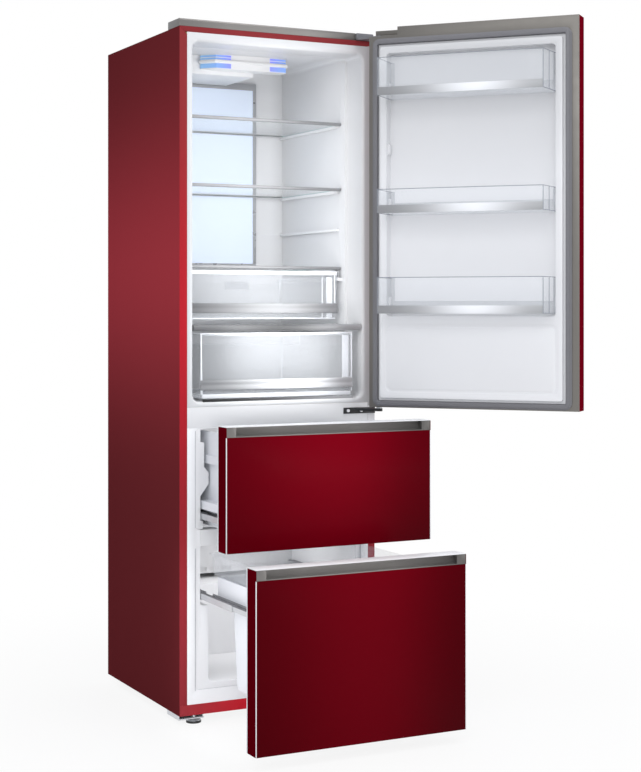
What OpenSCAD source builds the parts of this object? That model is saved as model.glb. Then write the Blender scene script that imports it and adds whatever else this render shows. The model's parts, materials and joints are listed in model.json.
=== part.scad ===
// Fridge freezer: one hinged fridge door above two freezer drawers on telescopic slides.
// Millimetres, +Z up, the front faces -Y. The origin is on the floor, midway between the two
// front levelling feet. The modules work in the cabinet's own frame, where y = 0 is the front
// plane of the cabinet, and on_feet() moves them so that the feet stand on the origin's line.
// The model stands as in use: the door is open and both freezer drawers are pulled out.

/* [Cabinet] */
// Width of the cabinet and of its fronts
cab_w = 595; // [560:1:640]
// Depth of the cabinet without its fronts
cab_d = 575; // [560:1:640]
// Height of the top panel above the floor
cab_top = 1876; // [1868:1:1940]
// Height of the cabinet's lower edge above the floor
cab_base = 24; // [22:1:26]
// Thickness of the outer steel sheet
sheet_t = 1.2; // [0.8:0.1:2]
// Width of the painted front stiles and top rail
stile_w = 22; // [16:1:26]
// Height of the painted bottom rail
bottom_rail_h = 29; // [24:1:34]
// Height of the grey cap on the front of the top
cap_h = 21; // [16:1:24]
// Depth of the grey cap
cap_d = 85; // [60:1:120]
// Wall of the grey cap
cap_wall = 2.5; // [1.5:0.1:4]

/* [Fridge compartment] */
// Thickness of the side walls at the mouth
side_wall = 39.5; // [37:0.5:45]
// How much each side wall steps in behind the mouth
wall_step = 8; // [4:1:12]
// Depth at which the walls step in
step_y = 92; // [70:1:100]
// Height of the floor of the fridge compartment
fridge_floor = 866; // [862:1:868]
// Distance of the mouth's upper edge below the top panel
top_wall = 39; // [36:1:44]
// How much the ceiling rises behind the mouth
ceiling_rise = 13; // [8:1:15]
// Thickness of the back wall
back_wall = 63; // [50:1:80]
// Corner radius of the mouth
mouth_r = 20; // [12:1:30]
// Rounding of the lip around the mouth
lip_r = 9; // [5:1:12]
// Wall of the liners
liner_t = 2; // [1.5:0.1:3]

/* [Shelves] */
// Distance of the upper glass shelf below the mouth's upper edge
shelf_1_drop = 187; // [150:1:230]
// Distance of the middle glass shelf below the mouth's upper edge
shelf_2_drop = 376; // [340:1:400]
// Height of the lower glass shelf above the floor of the compartment
shelf_3_rise = 368; // [350:1:390]
// Height of the glass cover of the crisper above the floor of the compartment
shelf_4_rise = 200; // [190:1:210]
// Thickness of the glass
glass_t = 4; // [3:0.5:6]
// Distance of the shelf fronts from the cabinet's front plane
shelf_front = 110; // [104:1:130]
// Height of a shelf's front trim
trim_h = 9; // [7:0.5:14]
// Depth of a shelf's front trim
trim_d = 13; // [10:0.5:20]
// Height of the trim of the crisper's cover
cover_trim_h = 18; // [12:1:20]
// Width of the ribs that carry the shelves
rib_w = 9; // [6:0.5:12]
// Height of the ribs that carry the shelves
rib_h = 8; // [5:0.5:12]

/* [Light and air] */
// Width of the back light panel
light_w = 310; // [200:1:340]
// Height of the light panel's lower edge above the lower shelf
light_gap = 10; // [6:1:30]
// Distance of the light panel's upper edge below the mouth's upper edge
light_drop = 30; // [20:1:60]
// Width of the light panel's bezel at the sides
bezel_w = 11; // [5:1:15]
// Height of the light panel's upper bezel
bezel_top_h = 20; // [10:1:30]
// How far the light panel stands out of the back wall
light_d = 12; // [6:1:15]
// Width of the ceiling air duct's head
duct_w = 258; // [200:1:300]
// Distance of the duct head from the back wall
duct_reach = 262; // [220:1:300]
// Height of the duct head
duct_h = 42; // [40:1:50]
// How far the duct head stands to the right of the middle
duct_x = 12; // [0:1:20]

/* [Fridge drawers] */
// Room beside the crisper
crisper_side = 18; // [16:1:30]
// Distance of the crisper's front from the cabinet's front plane
crisper_front = 13; // [10:1:20]
// Room behind the crisper
crisper_rear = 44; // [20:1:80]
// Height of the floor runners under the crisper
runner_h = 6.7; // [5:0.1:10]
// Room between the crisper and its cover
crisper_gap = 5; // [3:0.5:12]
// Room beside the fresh drawer's body
fresh_side = 19; // [18:1:30]
// Room behind the fresh drawer
fresh_rear = 29; // [20:1:80]
// Room between the fresh drawer and the cover below it
fresh_gap = 14; // [8:0.5:20]
// Height of the fresh drawer's hanging flange
flange_h = 18; // [14:1:24]
// How far the hanging flange reaches out of the fresh drawer
flange_w = 8; // [6:0.5:9]
// Wall of the clear boxes
box_t = 2.5; // [2:0.1:4]
// Height of the silver bands of the two boxes
band_h = 27; // [20:1:34]
// Thickness of the silver bands
band_t = 3; // [2:0.5:5]

/* [Door] */
// Thickness of the door and of the drawer fronts
front_t = 55; // [50:1:60]
// Thickness of the gaskets
gasket_t = 12; // [10:0.5:14]
// Lower edge of the door above the floor
door_z0 = 843; // [841:1:846]
// How far the door stands up past the top panel
door_over = 24; // [23:1:30]
// Angle of the door as it stands
door_angle = 131.15; // [0:0.05:135]
// Distance of the hinge axis from the side of the cabinet
pivot_side = 14.4; // [13:0.1:16]
// Distance of the hinge axis from the outer face of the door
pivot_front = 13.9; // [13:0.1:16]
// Depth of the painted part of a front
skin_d = 52; // [44:1:53]
// Thickness of the painted front skin
skin_t = 2; // [1:0.1:3]
// Length of the notch over the top hinge
notch_l = 83; // [78:1:95]
// Depth to which the door liner is recessed behind the gasket plane
recess_d = 23; // [15:1:28]
// Width of the door's gasket
door_gasket_w = 17; // [14:0.5:20]
// Width of the bare frame outside the gasket, at the free edge
door_rim = 18.8; // [16:0.2:22]
// How far the liner stands towards the hinge from the middle of the door
liner_shift = 3.6; // [0:0.2:5]
// Width of the door liner beside its bin recess
recess_side = 26; // [22:0.5:32]
// Height of the bin recess above the door's lower edge
recess_rise = 253; // [240:1:270]

/* [Door bins] */
// Distance of the upper bin's rim below the top of the recess
bin_1_drop = 23; // [12:1:60]
// Height of the middle bin's floor above the bottom of the recess
bin_2_rise = 281; // [250:1:300]
// Height of the lower bin's floor above the bottom of the recess
bin_3_rise = 8; // [8:1:20]
// Height of the upper bin
bin_1_h = 104; // [80:1:108]
// Height of the middle bin
bin_2_h = 66; // [60:1:90]
// Height of the lower bin
bin_3_h = 99; // [80:1:105]
// How far the bins reach past the gasket plane towards the shelves
bin_reach = 95; // [70:1:96]
// How much the bins draw in towards their front, at each side
bin_draw = 8; // [4:1:14]
// How far a bin's front is set towards the hinge
bin_skew = 4; // [0:1:4]
// Outward bow of a bin's front
bin_bow = 5; // [3:1:6]
// Wall of the bins
bin_t = 2.5; // [2:0.1:4]
// Height of a bin's silver band
bin_band_h = 22; // [18:1:28]

/* [Freezer] */
// Height of the freezer floor
freezer_floor = 108; // [100:1:115]
// Height of the freezer ceiling
freezer_top = 794; // [790:1:796]
// Thickness of the freezer's side walls at the slides
freezer_wall = 60.5; // [56:0.5:66]
// How much each side wall steps in below the lower slides
low_step = 24; // [20:1:25]
// Height at which the freezer widens for the lower slides
freezer_step_z = 316; // [310:1:320]
// Thickness of the back wall behind the evaporator
freezer_back_wall = 70; // [60:1:80]
// Distance of the freezer's lower rear wall from the back
low_back = 253; // [245:1:260]
// Depth of the evaporator's chamber
evap_depth = 90; // [84:1:96]
// Lower edge of the freezer's cross beam
beam_z0 = 478; // [474:1:482]
// Upper edge of the freezer's cross beam
beam_z1 = 521; // [515:1:524]
// Thickness of the insulation around the compressor bay
bay_wall = 40; // [30:1:45]

/* [Freezer drawers] */
// Lower edge of the upper drawer's front
upper_z0 = 501; // [498:1:504]
// Upper edge of the upper drawer's front
upper_z1 = 820; // [815:1:821]
// Lower edge of the lower drawer's front
lower_z0 = 34; // [30:1:40]
// Upper edge of the lower drawer's front
lower_z1 = 487; // [480:1:490]
// How far the upper drawer is pulled out
upper_out = 246; // [0:1:400]
// How far the lower drawer is pulled out
lower_out = 425.6; // [0:0.1:440]
// Height of the grey grip strip
grip_h = 27; // [22:1:32]
// Length of the grip strip's end blocks
grip_end = 26; // [18:1:34]
// Depth of the finger groove in the grip strip
groove_d = 21; // [14:0.5:24]
// Room between a freezer wall and the boxes, which the slides fill
slide_room = 28.5; // [26:0.5:34]
// Room behind the upper basket when it is shut
basket_gap = 23; // [15:1:60]
// Wall of the freezer boxes
basket_t = 3; // [2:0.1:4]
// Height of the lower bin's shoulder band
shoulder_h = 64; // [50:1:66]
// Room behind the lower bin's deep part when it is shut
bin_low_gap = 30; // [20:1:60]
// How much longer the sliding tray is than the basket
tray_extra = 6; // [0:1:8]

/* [Slides] */
// Height of the centre of the upper slides
upper_slide_z = 558; // [556:1:560]
// Height of the centre of the lower slides
lower_slide_z = 342; // [340:1:344]
// Width of an outer rail
rail_w = 20; // [16:0.5:22]
// Height of an outer rail
rail_h = 20; // [18:0.5:26]
// Wall of the rails
rail_t = 1.5; // [1.2:0.1:2]
// Height of the lips that hold the next rail
rail_lip = 3; // [2:0.5:4]
// Room behind the rails
rail_gap = 11; // [6:1:30]
// Running clearance between the rails
slide_gap = 0.3; // [0.2:0.05:0.5]

/* [Feet and rollers] */
// Distance of a foot's axis from the side of the cabinet
foot_side = 49.5; // [45:0.5:60]
// Distance of the feet behind the front plane
foot_inset = 22; // [22:1:40]
// Width of a foot bracket
bracket_w = 74; // [66:1:90]
// Length of a foot bracket
bracket_l = 84; // [60:1:100]
// Diameter of a foot pad
pad_d = 41; // [36:1:44]
// Height of a foot pad
pad_h = 10.5; // [8:0.5:11]
// Diameter of a foot's threaded stud
stud_d = 10; // [8:0.5:12]
// Diameter of a rear roller
roller_d = 50; // [44:1:52]
// Width of a rear roller
roller_w = 18; // [12:1:24]
// Distance of the rollers from the back
roller_inset = 85; // [70:1:100]
// Diameter of a roller's axle
axle_d = 8; // [6:0.5:10]

/* [Cooling parts] */
// Diameter of the evaporator fan
fan_d = 104; // [90:1:120]
// Number of fan blades
fan_blades = 7; // [5:1:9]
// Number of evaporator fins
fins = 22; // [12:1:28]
// Diameter of the compressor's shell
comp_d = 158; // [140:1:170]
// Height of the compressor's shell
comp_h = 150; // [130:1:160]
// Diameter of the hole for the mains grommet
gland_d = 14; // [12:0.5:18]

/* [Hidden] */
$fn = 48;
e = 0.1; // overshoot of cuts
half = cab_w / 2;
inner_half = half - sheet_t;
seat = 0.3; // gap of parts that rest or slide on each other
run = 0.05; // radial clearance of turning fits

// Fridge compartment
mouth_half = half - side_wall;
wall_half = mouth_half - wall_step;
fridge_top = cab_top - top_wall;
wall_top = fridge_top + ceiling_rise;
fridge_back = cab_d - back_wall;
shelf_1_z = fridge_top - shelf_1_drop;
shelf_2_z = fridge_top - shelf_2_drop;
shelf_3_z = fridge_floor + shelf_3_rise;
shelf_4_z = fridge_floor + shelf_4_rise;
spare_rib_z = (shelf_2_z + shelf_3_z) / 2 + 4;
light_z0 = shelf_3_z + light_gap;
light_z1 = fridge_top - light_drop;
duct_front = fridge_back - duct_reach;
duct_z = wall_top - duct_h;
flange_half = half - stile_w;
flange_top = cab_top - 15; // lower edge of the top rail
flange_z = fridge_floor - 14; // lower edge of the fridge liner's flange
shelf_half = wall_half - 2.5;
shelf_back = fridge_back - light_d - seat;
rib_start = shelf_front + trim_d + 5;
cover_y1 = 30; // back of the trim of the crisper's cover

// Fridge drawers
crisper_w = 2 * (wall_half - crisper_side);
crisper_l = fridge_back - crisper_front - crisper_rear;
crisper_z = fridge_floor + runner_h + seat;
cover_z = shelf_4_z - 1; // centre of the cover's front trim
crisper_h = cover_z - cover_trim_h / 2 - crisper_gap - crisper_z;
fresh_w = 2 * (wall_half - fresh_side);
fresh_z1 = shelf_3_z - trim_h / 2 - 5;
fresh_z0 = cover_z + cover_trim_h / 2 + fresh_gap;
fresh_h = fresh_z1 - fresh_z0;
fresh_front = shelf_front - 7;
fresh_l = fridge_back - fresh_rear - fresh_front;

// Fronts, in the closed position
door_z1 = cab_top + door_over;
front_y = -gasket_t - front_t;
plane_y = -gasket_t; // inner plane of the fronts
pivot_x = half - pivot_side;
pivot_y = front_y + pivot_front;
notch_z = cab_top;
pin_d = 9;
pin_bush = 30; // length of a hinge pin inside the door
arm_t = 7;
arm_w = 16;
arm_nose = 9.5;
arm_lean = 39; // degrees that a hinge arm leans inwards from the pivot
centre_plate_z = 821;
centre_arm_z = 829;

// Freezer
freezer_half = half - freezer_wall;
freezer_low_half = freezer_half - low_step;
recess_half = freezer_half + 0.415 * (flange_half - freezer_half);
freezer_back = cab_d - freezer_back_wall;
freezer_low_back = cab_d - low_back;
evap_cover_y = freezer_back - evap_depth;
bay_y = freezer_low_back + liner_t + bay_wall;
bay_z = freezer_step_z - liner_t - bay_wall;
floor_sheet_z = cab_base + bottom_rail_h;
box_half = freezer_half - slide_room;
basket_y0 = plane_y + 4;
basket_l = evap_cover_y - basket_gap - basket_y0;
bin_low_l = freezer_low_back - bin_low_gap - basket_y0;
tray_l = basket_l + tray_extra;
box_top = lower_slide_z + 58; // upper edge of the lower bin
rail_y0 = 6;
rail_l = evap_cover_y - rail_gap - rail_y0;

// Rails, measured from the freezer wall
mid_w = rail_w - rail_t - 6;
mid_h = rail_h - 2 * rail_t - 2 * slide_gap;
head_h = mid_h - 2 * rail_t - 2 * slide_gap;

// Feet and rollers
foot_x = half - foot_side;
bracket_z = pad_h + 1.5;
roller_y = cab_d - roller_inset;
roller_x = foot_x;
tray_z = roller_d + 4;

// Cooling
fan_y = evap_cover_y + 12;
fan_z = 700;
motor_y = fan_y + 26;

// Moves the cabinet's frame so that the origin lies between the front feet
module on_feet() translate([0, -foot_inset, 0]) children();

// Extrudes a shape drawn in x and z from y0 to y1
module along_y(y0, y1) translate([0, y1, 0]) rotate([90, 0, 0]) linear_extrude(y1 - y0) children();

// Extrudes a shape drawn in y and z from x0 to x1
module along_x(x0, x1)
    translate([x0, 0, 0]) rotate([90, 0, 90]) linear_extrude(x1 - x0) children();

// Box between two corners
module span(lo, hi) translate(lo) cube(hi - lo);

// Two mirrored copies, left and right
module both_sides() {
    children();
    mirror([1, 0, 0]) children();
}

// Rectangle with rounded corners, drawn in x and z
module round_rect(x0, x1, z0, z1, r) {
    translate([x0 + r, z0]) square([x1 - x0 - 2 * r, z1 - z0]);
    translate([x0, z0 + r]) square([x1 - x0, z1 - z0 - 2 * r]);
    for (x = [x0 + r, x1 - r], z = [z0 + r, z1 - r]) translate([x, z]) circle(r);
}

// Sweeps a profile around a rounded rectangle. The profile's x is the distance outwards from
// the path and its y is the depth along y.
module swept_frame(x0, x1, z0, z1, r) {
    for (s = [0, 1]) translate([s ? x1 : x0, 0, z0 + r]) mirror([1 - s, 0, 0])
        linear_extrude(z1 - z0 - 2 * r) children();
    for (s = [0, 1]) translate([x0 + r, 0, s ? z1 : z0]) mirror([0, 0, s]) rotate([0, 90, 0])
        linear_extrude(x1 - x0 - 2 * r) children();
    for (c = [[x1 - r, z1 - r, -90], [x0 + r, z1 - r, -180], [x0 + r, z0 + r, 90], [x1 - r, z0 + r, 0]])
        translate([c[0], 0, c[1]]) rotate([-90, 0, 0]) rotate([0, 0, c[2]])
            rotate_extrude(angle = 90) translate([r, 0]) children();
}

// Cabinet sheets

// Side panel with its folded front stile, mitred at the top
module side_panel() {
    color([0.42, 0.06, 0.09]) difference() {
        union() {
            span([-half, 0, cab_base], [-inner_half, cab_d, cab_top]);
            span([-half, 0, cab_base], [-flange_half, sheet_t, cab_top]);
        }
        translate([-half, -e, cab_top]) rotate([0, 45, 0])
            cube([60, sheet_t + 2 * e, 60], center = false);
        span([-half - e, -e, cab_top - sheet_t], [-half + 60, cab_d + e, cab_top + e]);
        span([-inner_half, -e, cab_base - e], [-flange_half + e, sheet_t + e, floor_sheet_z]);
    }
}
module side_panel_left() side_panel();
module side_panel_right() mirror([1, 0, 0]) side_panel();

module top_panel() {
    color([0.42, 0.06, 0.09]) {
        span([-half, 0, cab_top - sheet_t], [half, cab_d, cab_top]);
        difference() {
            span([-inner_half, 0, flange_top], [inner_half, sheet_t, cab_top - sheet_t]);
            both_sides() translate([-half, -e, cab_top]) rotate([0, 45, 0])
                translate([0, 0, -60]) cube([60, sheet_t + 2 * e, 60]);
        }
    }
}

module back_panel() {
    color([0.75, 0.76, 0.78]) difference() {
        span([-inner_half, cab_d - sheet_t, bay_z], [inner_half, cab_d, cab_top - sheet_t]);
        // two shallow stiffening grooves
        for (x = [-120, 120])
            span([x - 10, cab_d - 0.4, 420], [x + 10, cab_d + e, cab_top - 136]);
    }
}

// Bottom sheet with the red front rail, the step over the compressor bay, and the tray below
// the bay with the ears that carry the roller axles
module base_plate() {
    color([0.78, 0.08, 0.14]) {
        span([-inner_half, 0, cab_base], [inner_half, sheet_t, floor_sheet_z]);
        span([-inner_half, 0, floor_sheet_z - sheet_t], [inner_half, bay_y, floor_sheet_z]);
        span([-inner_half, bay_y - sheet_t, floor_sheet_z - sheet_t], [inner_half, bay_y, bay_z]);
        span([-inner_half, bay_y - sheet_t, bay_z - sheet_t], [inner_half, cab_d, bay_z]);
        // folded stiffener behind the rail
        span([-flange_half, sheet_t / 2, cab_base], [flange_half, 14, cab_base + sheet_t]);
        compressor_tray();
    }
}

module compressor_tray() {
    ear = 3;
    gap = 0.5; // beside a roller
    difference() {
        union() {
            span([-inner_half, bay_y - sheet_t, tray_z], [inner_half, cab_d - 6, tray_z + sheet_t]);
            span([-inner_half, cab_d - 6 - sheet_t, tray_z], [inner_half, cab_d - 6, tray_z + 22]);
            for (s = [-1, 1]) {
                for (k = [-1, 1]) along_x(s * roller_x + k * (roller_w / 2 + gap) + (k < 0 ? -ear : 0),
                        s * roller_x + k * (roller_w / 2 + gap) + (k < 0 ? 0 : ear)) {
                    translate([roller_y, roller_d / 2]) circle(12);
                    translate([roller_y - 12, roller_d / 2])
                        square([24, tray_z - roller_d / 2 + sheet_t / 2]);
                }
                translate([s * roller_x - roller_w / 2 - gap - ear - 2, roller_y, roller_d / 2])
                    rotate([0, 90, 0]) cylinder(d = axle_d, h = roller_w + 2 * (gap + ear + 2));
            }
            // clip for the grommet
            span([-inner_half + 36, cab_d - 10, tray_z], [-inner_half + 64, cab_d - 6, tray_z + 34]);
        }
        translate([-inner_half + 50, cab_d - 12, tray_z + 20]) rotate([-90, 0, 0])
            cylinder(d = gland_d, h = 10);
    }
}

// Hollow grey cap over the front edge of the top, cut short at the hinge
module top_cap() {
    cap_end = half - 60;
    color([0.45, 0.43, 0.41]) difference() {
        along_x(-half, cap_end) {
            translate([0, cab_top]) square([cap_d, cap_h - 6]);
            translate([6, cab_top]) square([cap_d - 6, cap_h]);
            translate([6, cab_top + cap_h - 6]) circle(6);
        }
        span([-half + cap_wall, cap_wall, cab_top - e],
            [cap_end - cap_wall, cap_d - cap_wall, cab_top + cap_h - cap_wall]);
    }
}

// Hinges

// Arm from the pivot back to the plate, seen from above
module hinge_arm(length) {
    translate([pivot_x, pivot_y]) {
        circle(arm_nose);
        rotate(90 + arm_lean) translate([0, -arm_w / 2]) square([length, arm_w]);
    }
}

module top_hinge() {
    color([0.50, 0.50, 0.52]) difference() {
        translate([0, 0, cab_top + seat]) linear_extrude(arm_t) {
            intersection() {
                hinge_arm(84);
                translate([half - 59, -cab_d]) square([100, 2 * cab_d]);
            }
            translate([half - 58, 3]) square([56, cap_d - 6]);
        }
        translate([pivot_x, pivot_y, cab_top - e]) cylinder(d = pin_d, h = arm_t + 2);
        for (p = [[half - 44, 22], [half - 16, 22], [half - 30, 62]])
            translate([p[0], p[1], cab_top - e]) cylinder(d = 6, h = arm_t + 2);
    }
}

module centre_hinge() {
    color([0.10, 0.10, 0.11]) difference() {
        union() {
            span([half - 100, -3, centre_plate_z], [half, 0, centre_plate_z + 17]);
            translate([0, 0, centre_arm_z]) linear_extrude(arm_t + 1) difference() {
                hinge_arm(84);
                translate([0, 0]) square([400, 60]);
            }
        }
        for (x = [half - 86, half - 44]) translate([x, e, centre_plate_z + 8.5])
            rotate([90, 0, 0]) cylinder(d = 6, h = 4);
        translate([pivot_x, pivot_y, centre_arm_z - e]) cylinder(d = pin_d, h = arm_t + 2);
    }
}

// The top pin hangs down into the door, the centre pin stands up into it
module hinge_pins() {
    color([0.72, 0.72, 0.74]) translate([pivot_x, pivot_y, 0]) {
        translate([0, 0, cab_top - pin_bush]) cylinder(d = pin_d, h = pin_bush + seat + arm_t);
        translate([0, 0, centre_arm_z]) cylinder(d = pin_d, h = door_z0 + pin_bush - centre_arm_z);
        // collar on which the door stands
        translate([0, 0, centre_arm_z + arm_t + 1])
            cylinder(d = 16, h = door_z0 - seat - centre_arm_z - arm_t - 1);
    }
}

// Liners

// Profile of the rounded lip, from the wall out to the flange
module lip_profile() {
    intersection() {
        difference() {
            translate([lip_r, lip_r]) circle(lip_r);
            translate([lip_r, lip_r]) circle(lip_r - liner_t);
        }
        square(lip_r);
    }
}

// The hollow of the fridge compartment, grown by t
module fridge_hollow(t, y0) {
    along_y(y0, step_y + t)
        round_rect(-mouth_half - t, mouth_half + t, fridge_floor - t, fridge_top + t, mouth_r + t);
    along_y(step_y, fridge_back + t)
        round_rect(-wall_half - t, wall_half + t, fridge_floor - t, wall_top + t, mouth_r + t);
}

// Rib along both walls, its top at z
module rib_pair(z, y0, w, h) {
    both_sides() span([-wall_half, y0, z - h], [-wall_half + w, fridge_back, z]);
}

module fridge_liner() {
    color([0.93, 0.94, 0.96]) {
        difference() {
            fridge_hollow(liner_t, lip_r);
            fridge_hollow(0, lip_r - e);
        }
        swept_frame(-mouth_half, mouth_half, fridge_floor, fridge_top, mouth_r) lip_profile();
        along_y(0, liner_t) difference() {
            translate([-flange_half, flange_z]) square([2 * flange_half, flange_top - flange_z]);
            round_rect(-mouth_half - lip_r, mouth_half + lip_r, fridge_floor - lip_r,
                fridge_top + lip_r, mouth_r + lip_r);
        }
        for (z = [shelf_1_z, shelf_2_z, shelf_3_z, spare_rib_z])
            rib_pair(z - glass_t / 2, rib_start, rib_w, rib_h);
        rib_pair(shelf_4_z - glass_t / 2, step_y + 2, rib_w, rib_h);
        // ribs for the fresh drawer's flanges
        rib_pair(fresh_z1 - flange_h - seat, fresh_front + 4, 16, 9);
        // floor runners under the crisper
        for (x = [-180, 180])
            span([x - 6, 20, fridge_floor], [x + 6, fridge_back - 32, fridge_floor + runner_h]);
    }
}

// The hollow of the freezer compartment, grown by t
module freezer_hollow(t, y0) {
    along_y(y0, freezer_back + t)
        round_rect(-freezer_half - t, freezer_half + t, freezer_step_z - t, freezer_top + t, 10 + t);
    along_y(y0, freezer_low_back + t)
        round_rect(-freezer_low_half - t, freezer_low_half + t, freezer_floor - t,
            freezer_step_z + 60, 15 + t);
}

module freezer_liner() {
    flange_low = floor_sheet_z;
    color([0.93, 0.94, 0.96]) difference() {
        union() {
            freezer_hollow(liner_t, 0);
            along_y(0, liner_t + 3) translate([-flange_half, flange_low])
                square([2 * flange_half, freezer_top + 2 - flange_low]);
        }
        freezer_hollow(0, -e);
        // shallow recess that frames both drawer spaces
        along_y(-e, 3) {
            round_rect(-recess_half, recess_half, beam_z1 + 1, freezer_top, 12);
            round_rect(-recess_half, recess_half, freezer_floor - 17, beam_z0 - 2, 12);
        }
    }
}

// Cover of the beam between fridge and freezer, and the freezer's cross beam
module beam_covers() {
    color([0.95, 0.96, 0.97]) {
        span([-flange_half, 0, freezer_top + 2 + seat], [flange_half, 2, flange_z - seat]);
        difference() {
            span([-freezer_half + seat, 0, beam_z0], [freezer_half - seat, 46, beam_z1]);
            span([-freezer_half, 3, beam_z0 + 3], [freezer_half, 46 + e, beam_z1 - 3]);
        }
        both_sides() span([-freezer_half + seat, 3, beam_z0 + 3],
            [-freezer_half + 3, 46, beam_z1 - 3]);
    }
}

// Wavy trims at both sides of the upper drawer space, open at the slides
module freezer_side_trims() {
    edge = recess_half - 0.3;
    top = freezer_top - 0.3;
    bump = upper_slide_z + 102; // centre of the widest place
    color([0.95, 0.96, 0.97]) both_sides() along_y(0, 3) intersection() {
        polygon([[-edge, beam_z1 + 2], [-freezer_half + 7, beam_z1 + 2],
            [-freezer_half + 7, upper_slide_z - 14], [-freezer_half, upper_slide_z - 12],
            [-freezer_half, bump - 48], [-freezer_half + 24, bump - 16],
            [-freezer_half + 24, bump + 14], [-freezer_half + 11, bump + 30],
            [-freezer_half + 11, bump + 96], [-freezer_half, bump + 98],
            [-freezer_half, top], [-edge, top]]);
        round_rect(-edge, edge, beam_z1 + 1.3, top, 11.7);
    }
}

// Foam between the sheets and the liners
module insulation_foam() {
    color([0.93, 0.86, 0.62]) difference() {
        span([-inner_half + 0.1, 6, floor_sheet_z + 0.1],
            [inner_half - 0.1, cab_d - 9, cab_top - sheet_t - 0.1]);
        fridge_hollow(liner_t, 5);
        swept_frame(-mouth_half, mouth_half, fridge_floor, fridge_top, mouth_r)
            square([lip_r + 1, lip_r + 1]);
        freezer_hollow(liner_t, 5);
        span([-half, bay_y - sheet_t - 0.1, cab_base], [half, cab_d, bay_z + 0.1]);
    }
}

// Light and air

module light_panel_frame() {
    color([0.58, 0.60, 0.63]) difference() {
        span([-light_w / 2, fridge_back - light_d, light_z0],
            [light_w / 2, fridge_back, light_z1]);
        span([-light_w / 2 + bezel_w, fridge_back - light_d - e, light_z0 + bezel_w],
            [light_w / 2 - bezel_w, fridge_back - 4, light_z1 - bezel_top_h]);
        // small air slots in the right bezel
        for (i = [0 : 5]) span([light_w / 2 - 7, fridge_back - light_d - e, light_z0 + 12 + 9 * i],
            [light_w / 2 - 2, fridge_back - light_d + 3, light_z0 + 17 + 9 * i]);
    }
}

module light_diffuser() {
    color([0.86, 0.93, 1.0])
        span([-light_w / 2 + bezel_w + 0.2, fridge_back - light_d + 1, light_z0 + bezel_w + 0.2],
            [light_w / 2 - bezel_w - 0.2, fridge_back - 4, light_z1 - bezel_top_h - 0.2]);
}

// Plan of the duct head with its bevelled front corners
module duct_plan(inset) {
    w = duct_w / 2 - inset;
    f = duct_front + inset;
    translate([duct_x, 0]) polygon([[-w, duct_front + 34], [-w + 33, f], [w - 6, f],
        [w, duct_front + 8], [w, duct_front + 48], [-w, duct_front + 48]]);
}

// Heights above the duct's lower face and thicknesses of its lamp strips
lamp_strips = [[2.5, 13], [27, 4.5], [34, 5.5]];

// Part of the duct's front where the strips lie: both ends, not the middle
module lamp_zone(grow) {
    difference() {
        translate([-duct_w, duct_front - 5]) square([2 * duct_w, 49 + grow]);
        translate([-38 + grow, duct_front - 6]) square([124 - 2 * grow, 60]);
    }
}

module ceiling_duct() {
    color([0.94, 0.95, 0.97]) {
        difference() {
            translate([0, 0, duct_z]) linear_extrude(duct_h) duct_plan(0);
            for (l = lamp_strips) translate([0, 0, duct_z + l[0]]) linear_extrude(l[1])
                difference() {
                    lamp_zone(0);
                    duct_plan(6);
                }
        }
        // ledge between the strips
        translate([0, 0, duct_z + 17]) linear_extrude(8) difference() {
            duct_plan(-5);
            duct_plan(2);
            translate([-duct_w, duct_front + 48]) square([2 * duct_w, 100]);
        }
        // neck back to the wall, with a short drop in front of it
        span([-light_w / 2 + 5, duct_front + 46, duct_z - 12],
            [duct_x + 41, fridge_back - light_d - 4, wall_top]);
    }
}

module duct_lamps() {
    color([0.45, 0.62, 0.98]) for (l = lamp_strips) translate([0, 0, duct_z + l[0] + 0.1])
        linear_extrude(l[1] - 0.2) intersection() {
            difference() {
                duct_plan(0);
                duct_plan(5.9);
            }
            lamp_zone(-0.1);
        }
}

// Shelves

// Glass plate that rests on its ribs
module shelf_glass(z, y0)
    span([-shelf_half, y0, z - glass_t / 2], [shelf_half, shelf_back - 5, z + glass_t / 2]);
module glass_shelves() {
    color([0.80, 0.90, 0.92, 0.4]) {
        for (z = [shelf_1_z, shelf_2_z, shelf_3_z]) shelf_glass(z, shelf_front + 4);
        shelf_glass(shelf_4_z, cover_y1 - 4);
    }
}

// Front trim with a rounded nose and a slot for the glass, and the slim rear trim
module shelf_trim_pair(z) {
    along_x(-shelf_half, shelf_half) difference() {
        union() {
            translate([shelf_front + trim_h / 2, z]) circle(d = trim_h);
            translate([shelf_front + trim_h / 2, z - trim_h / 2])
                square([trim_d - trim_h / 2, trim_h]);
        }
        translate([shelf_front + 4, z - glass_t / 2]) square([trim_d, glass_t]);
    }
    rear_trim(z);
}
module rear_trim(z) {
    along_x(-wall_half + rib_w + 1, wall_half - rib_w - 1) difference() {
        translate([shelf_back - 11, z - 1 - glass_t / 2]) square([11, glass_t + 3]);
        translate([shelf_back - 12, z - glass_t / 2]) square([7, glass_t]);
    }
}

module shelf_trims() {
    color([0.66, 0.67, 0.69]) {
        for (z = [shelf_1_z, shelf_2_z, shelf_3_z]) shelf_trim_pair(z);
        // broad trim of the crisper's cover, with a slot for its glass
        along_x(-mouth_half + 3, mouth_half - 3) difference() {
            union() {
                translate([2 + cover_trim_h / 2, cover_z]) circle(d = cover_trim_h);
                translate([2 + cover_trim_h / 2, cover_z - cover_trim_h / 2])
                    square([cover_y1 - 2 - cover_trim_h / 2, cover_trim_h]);
            }
            translate([cover_y1 - 4, shelf_4_z - glass_t / 2]) square([20, glass_t]);
        }
        rear_trim(shelf_4_z);
    }
}

// Fridge drawers

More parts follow.
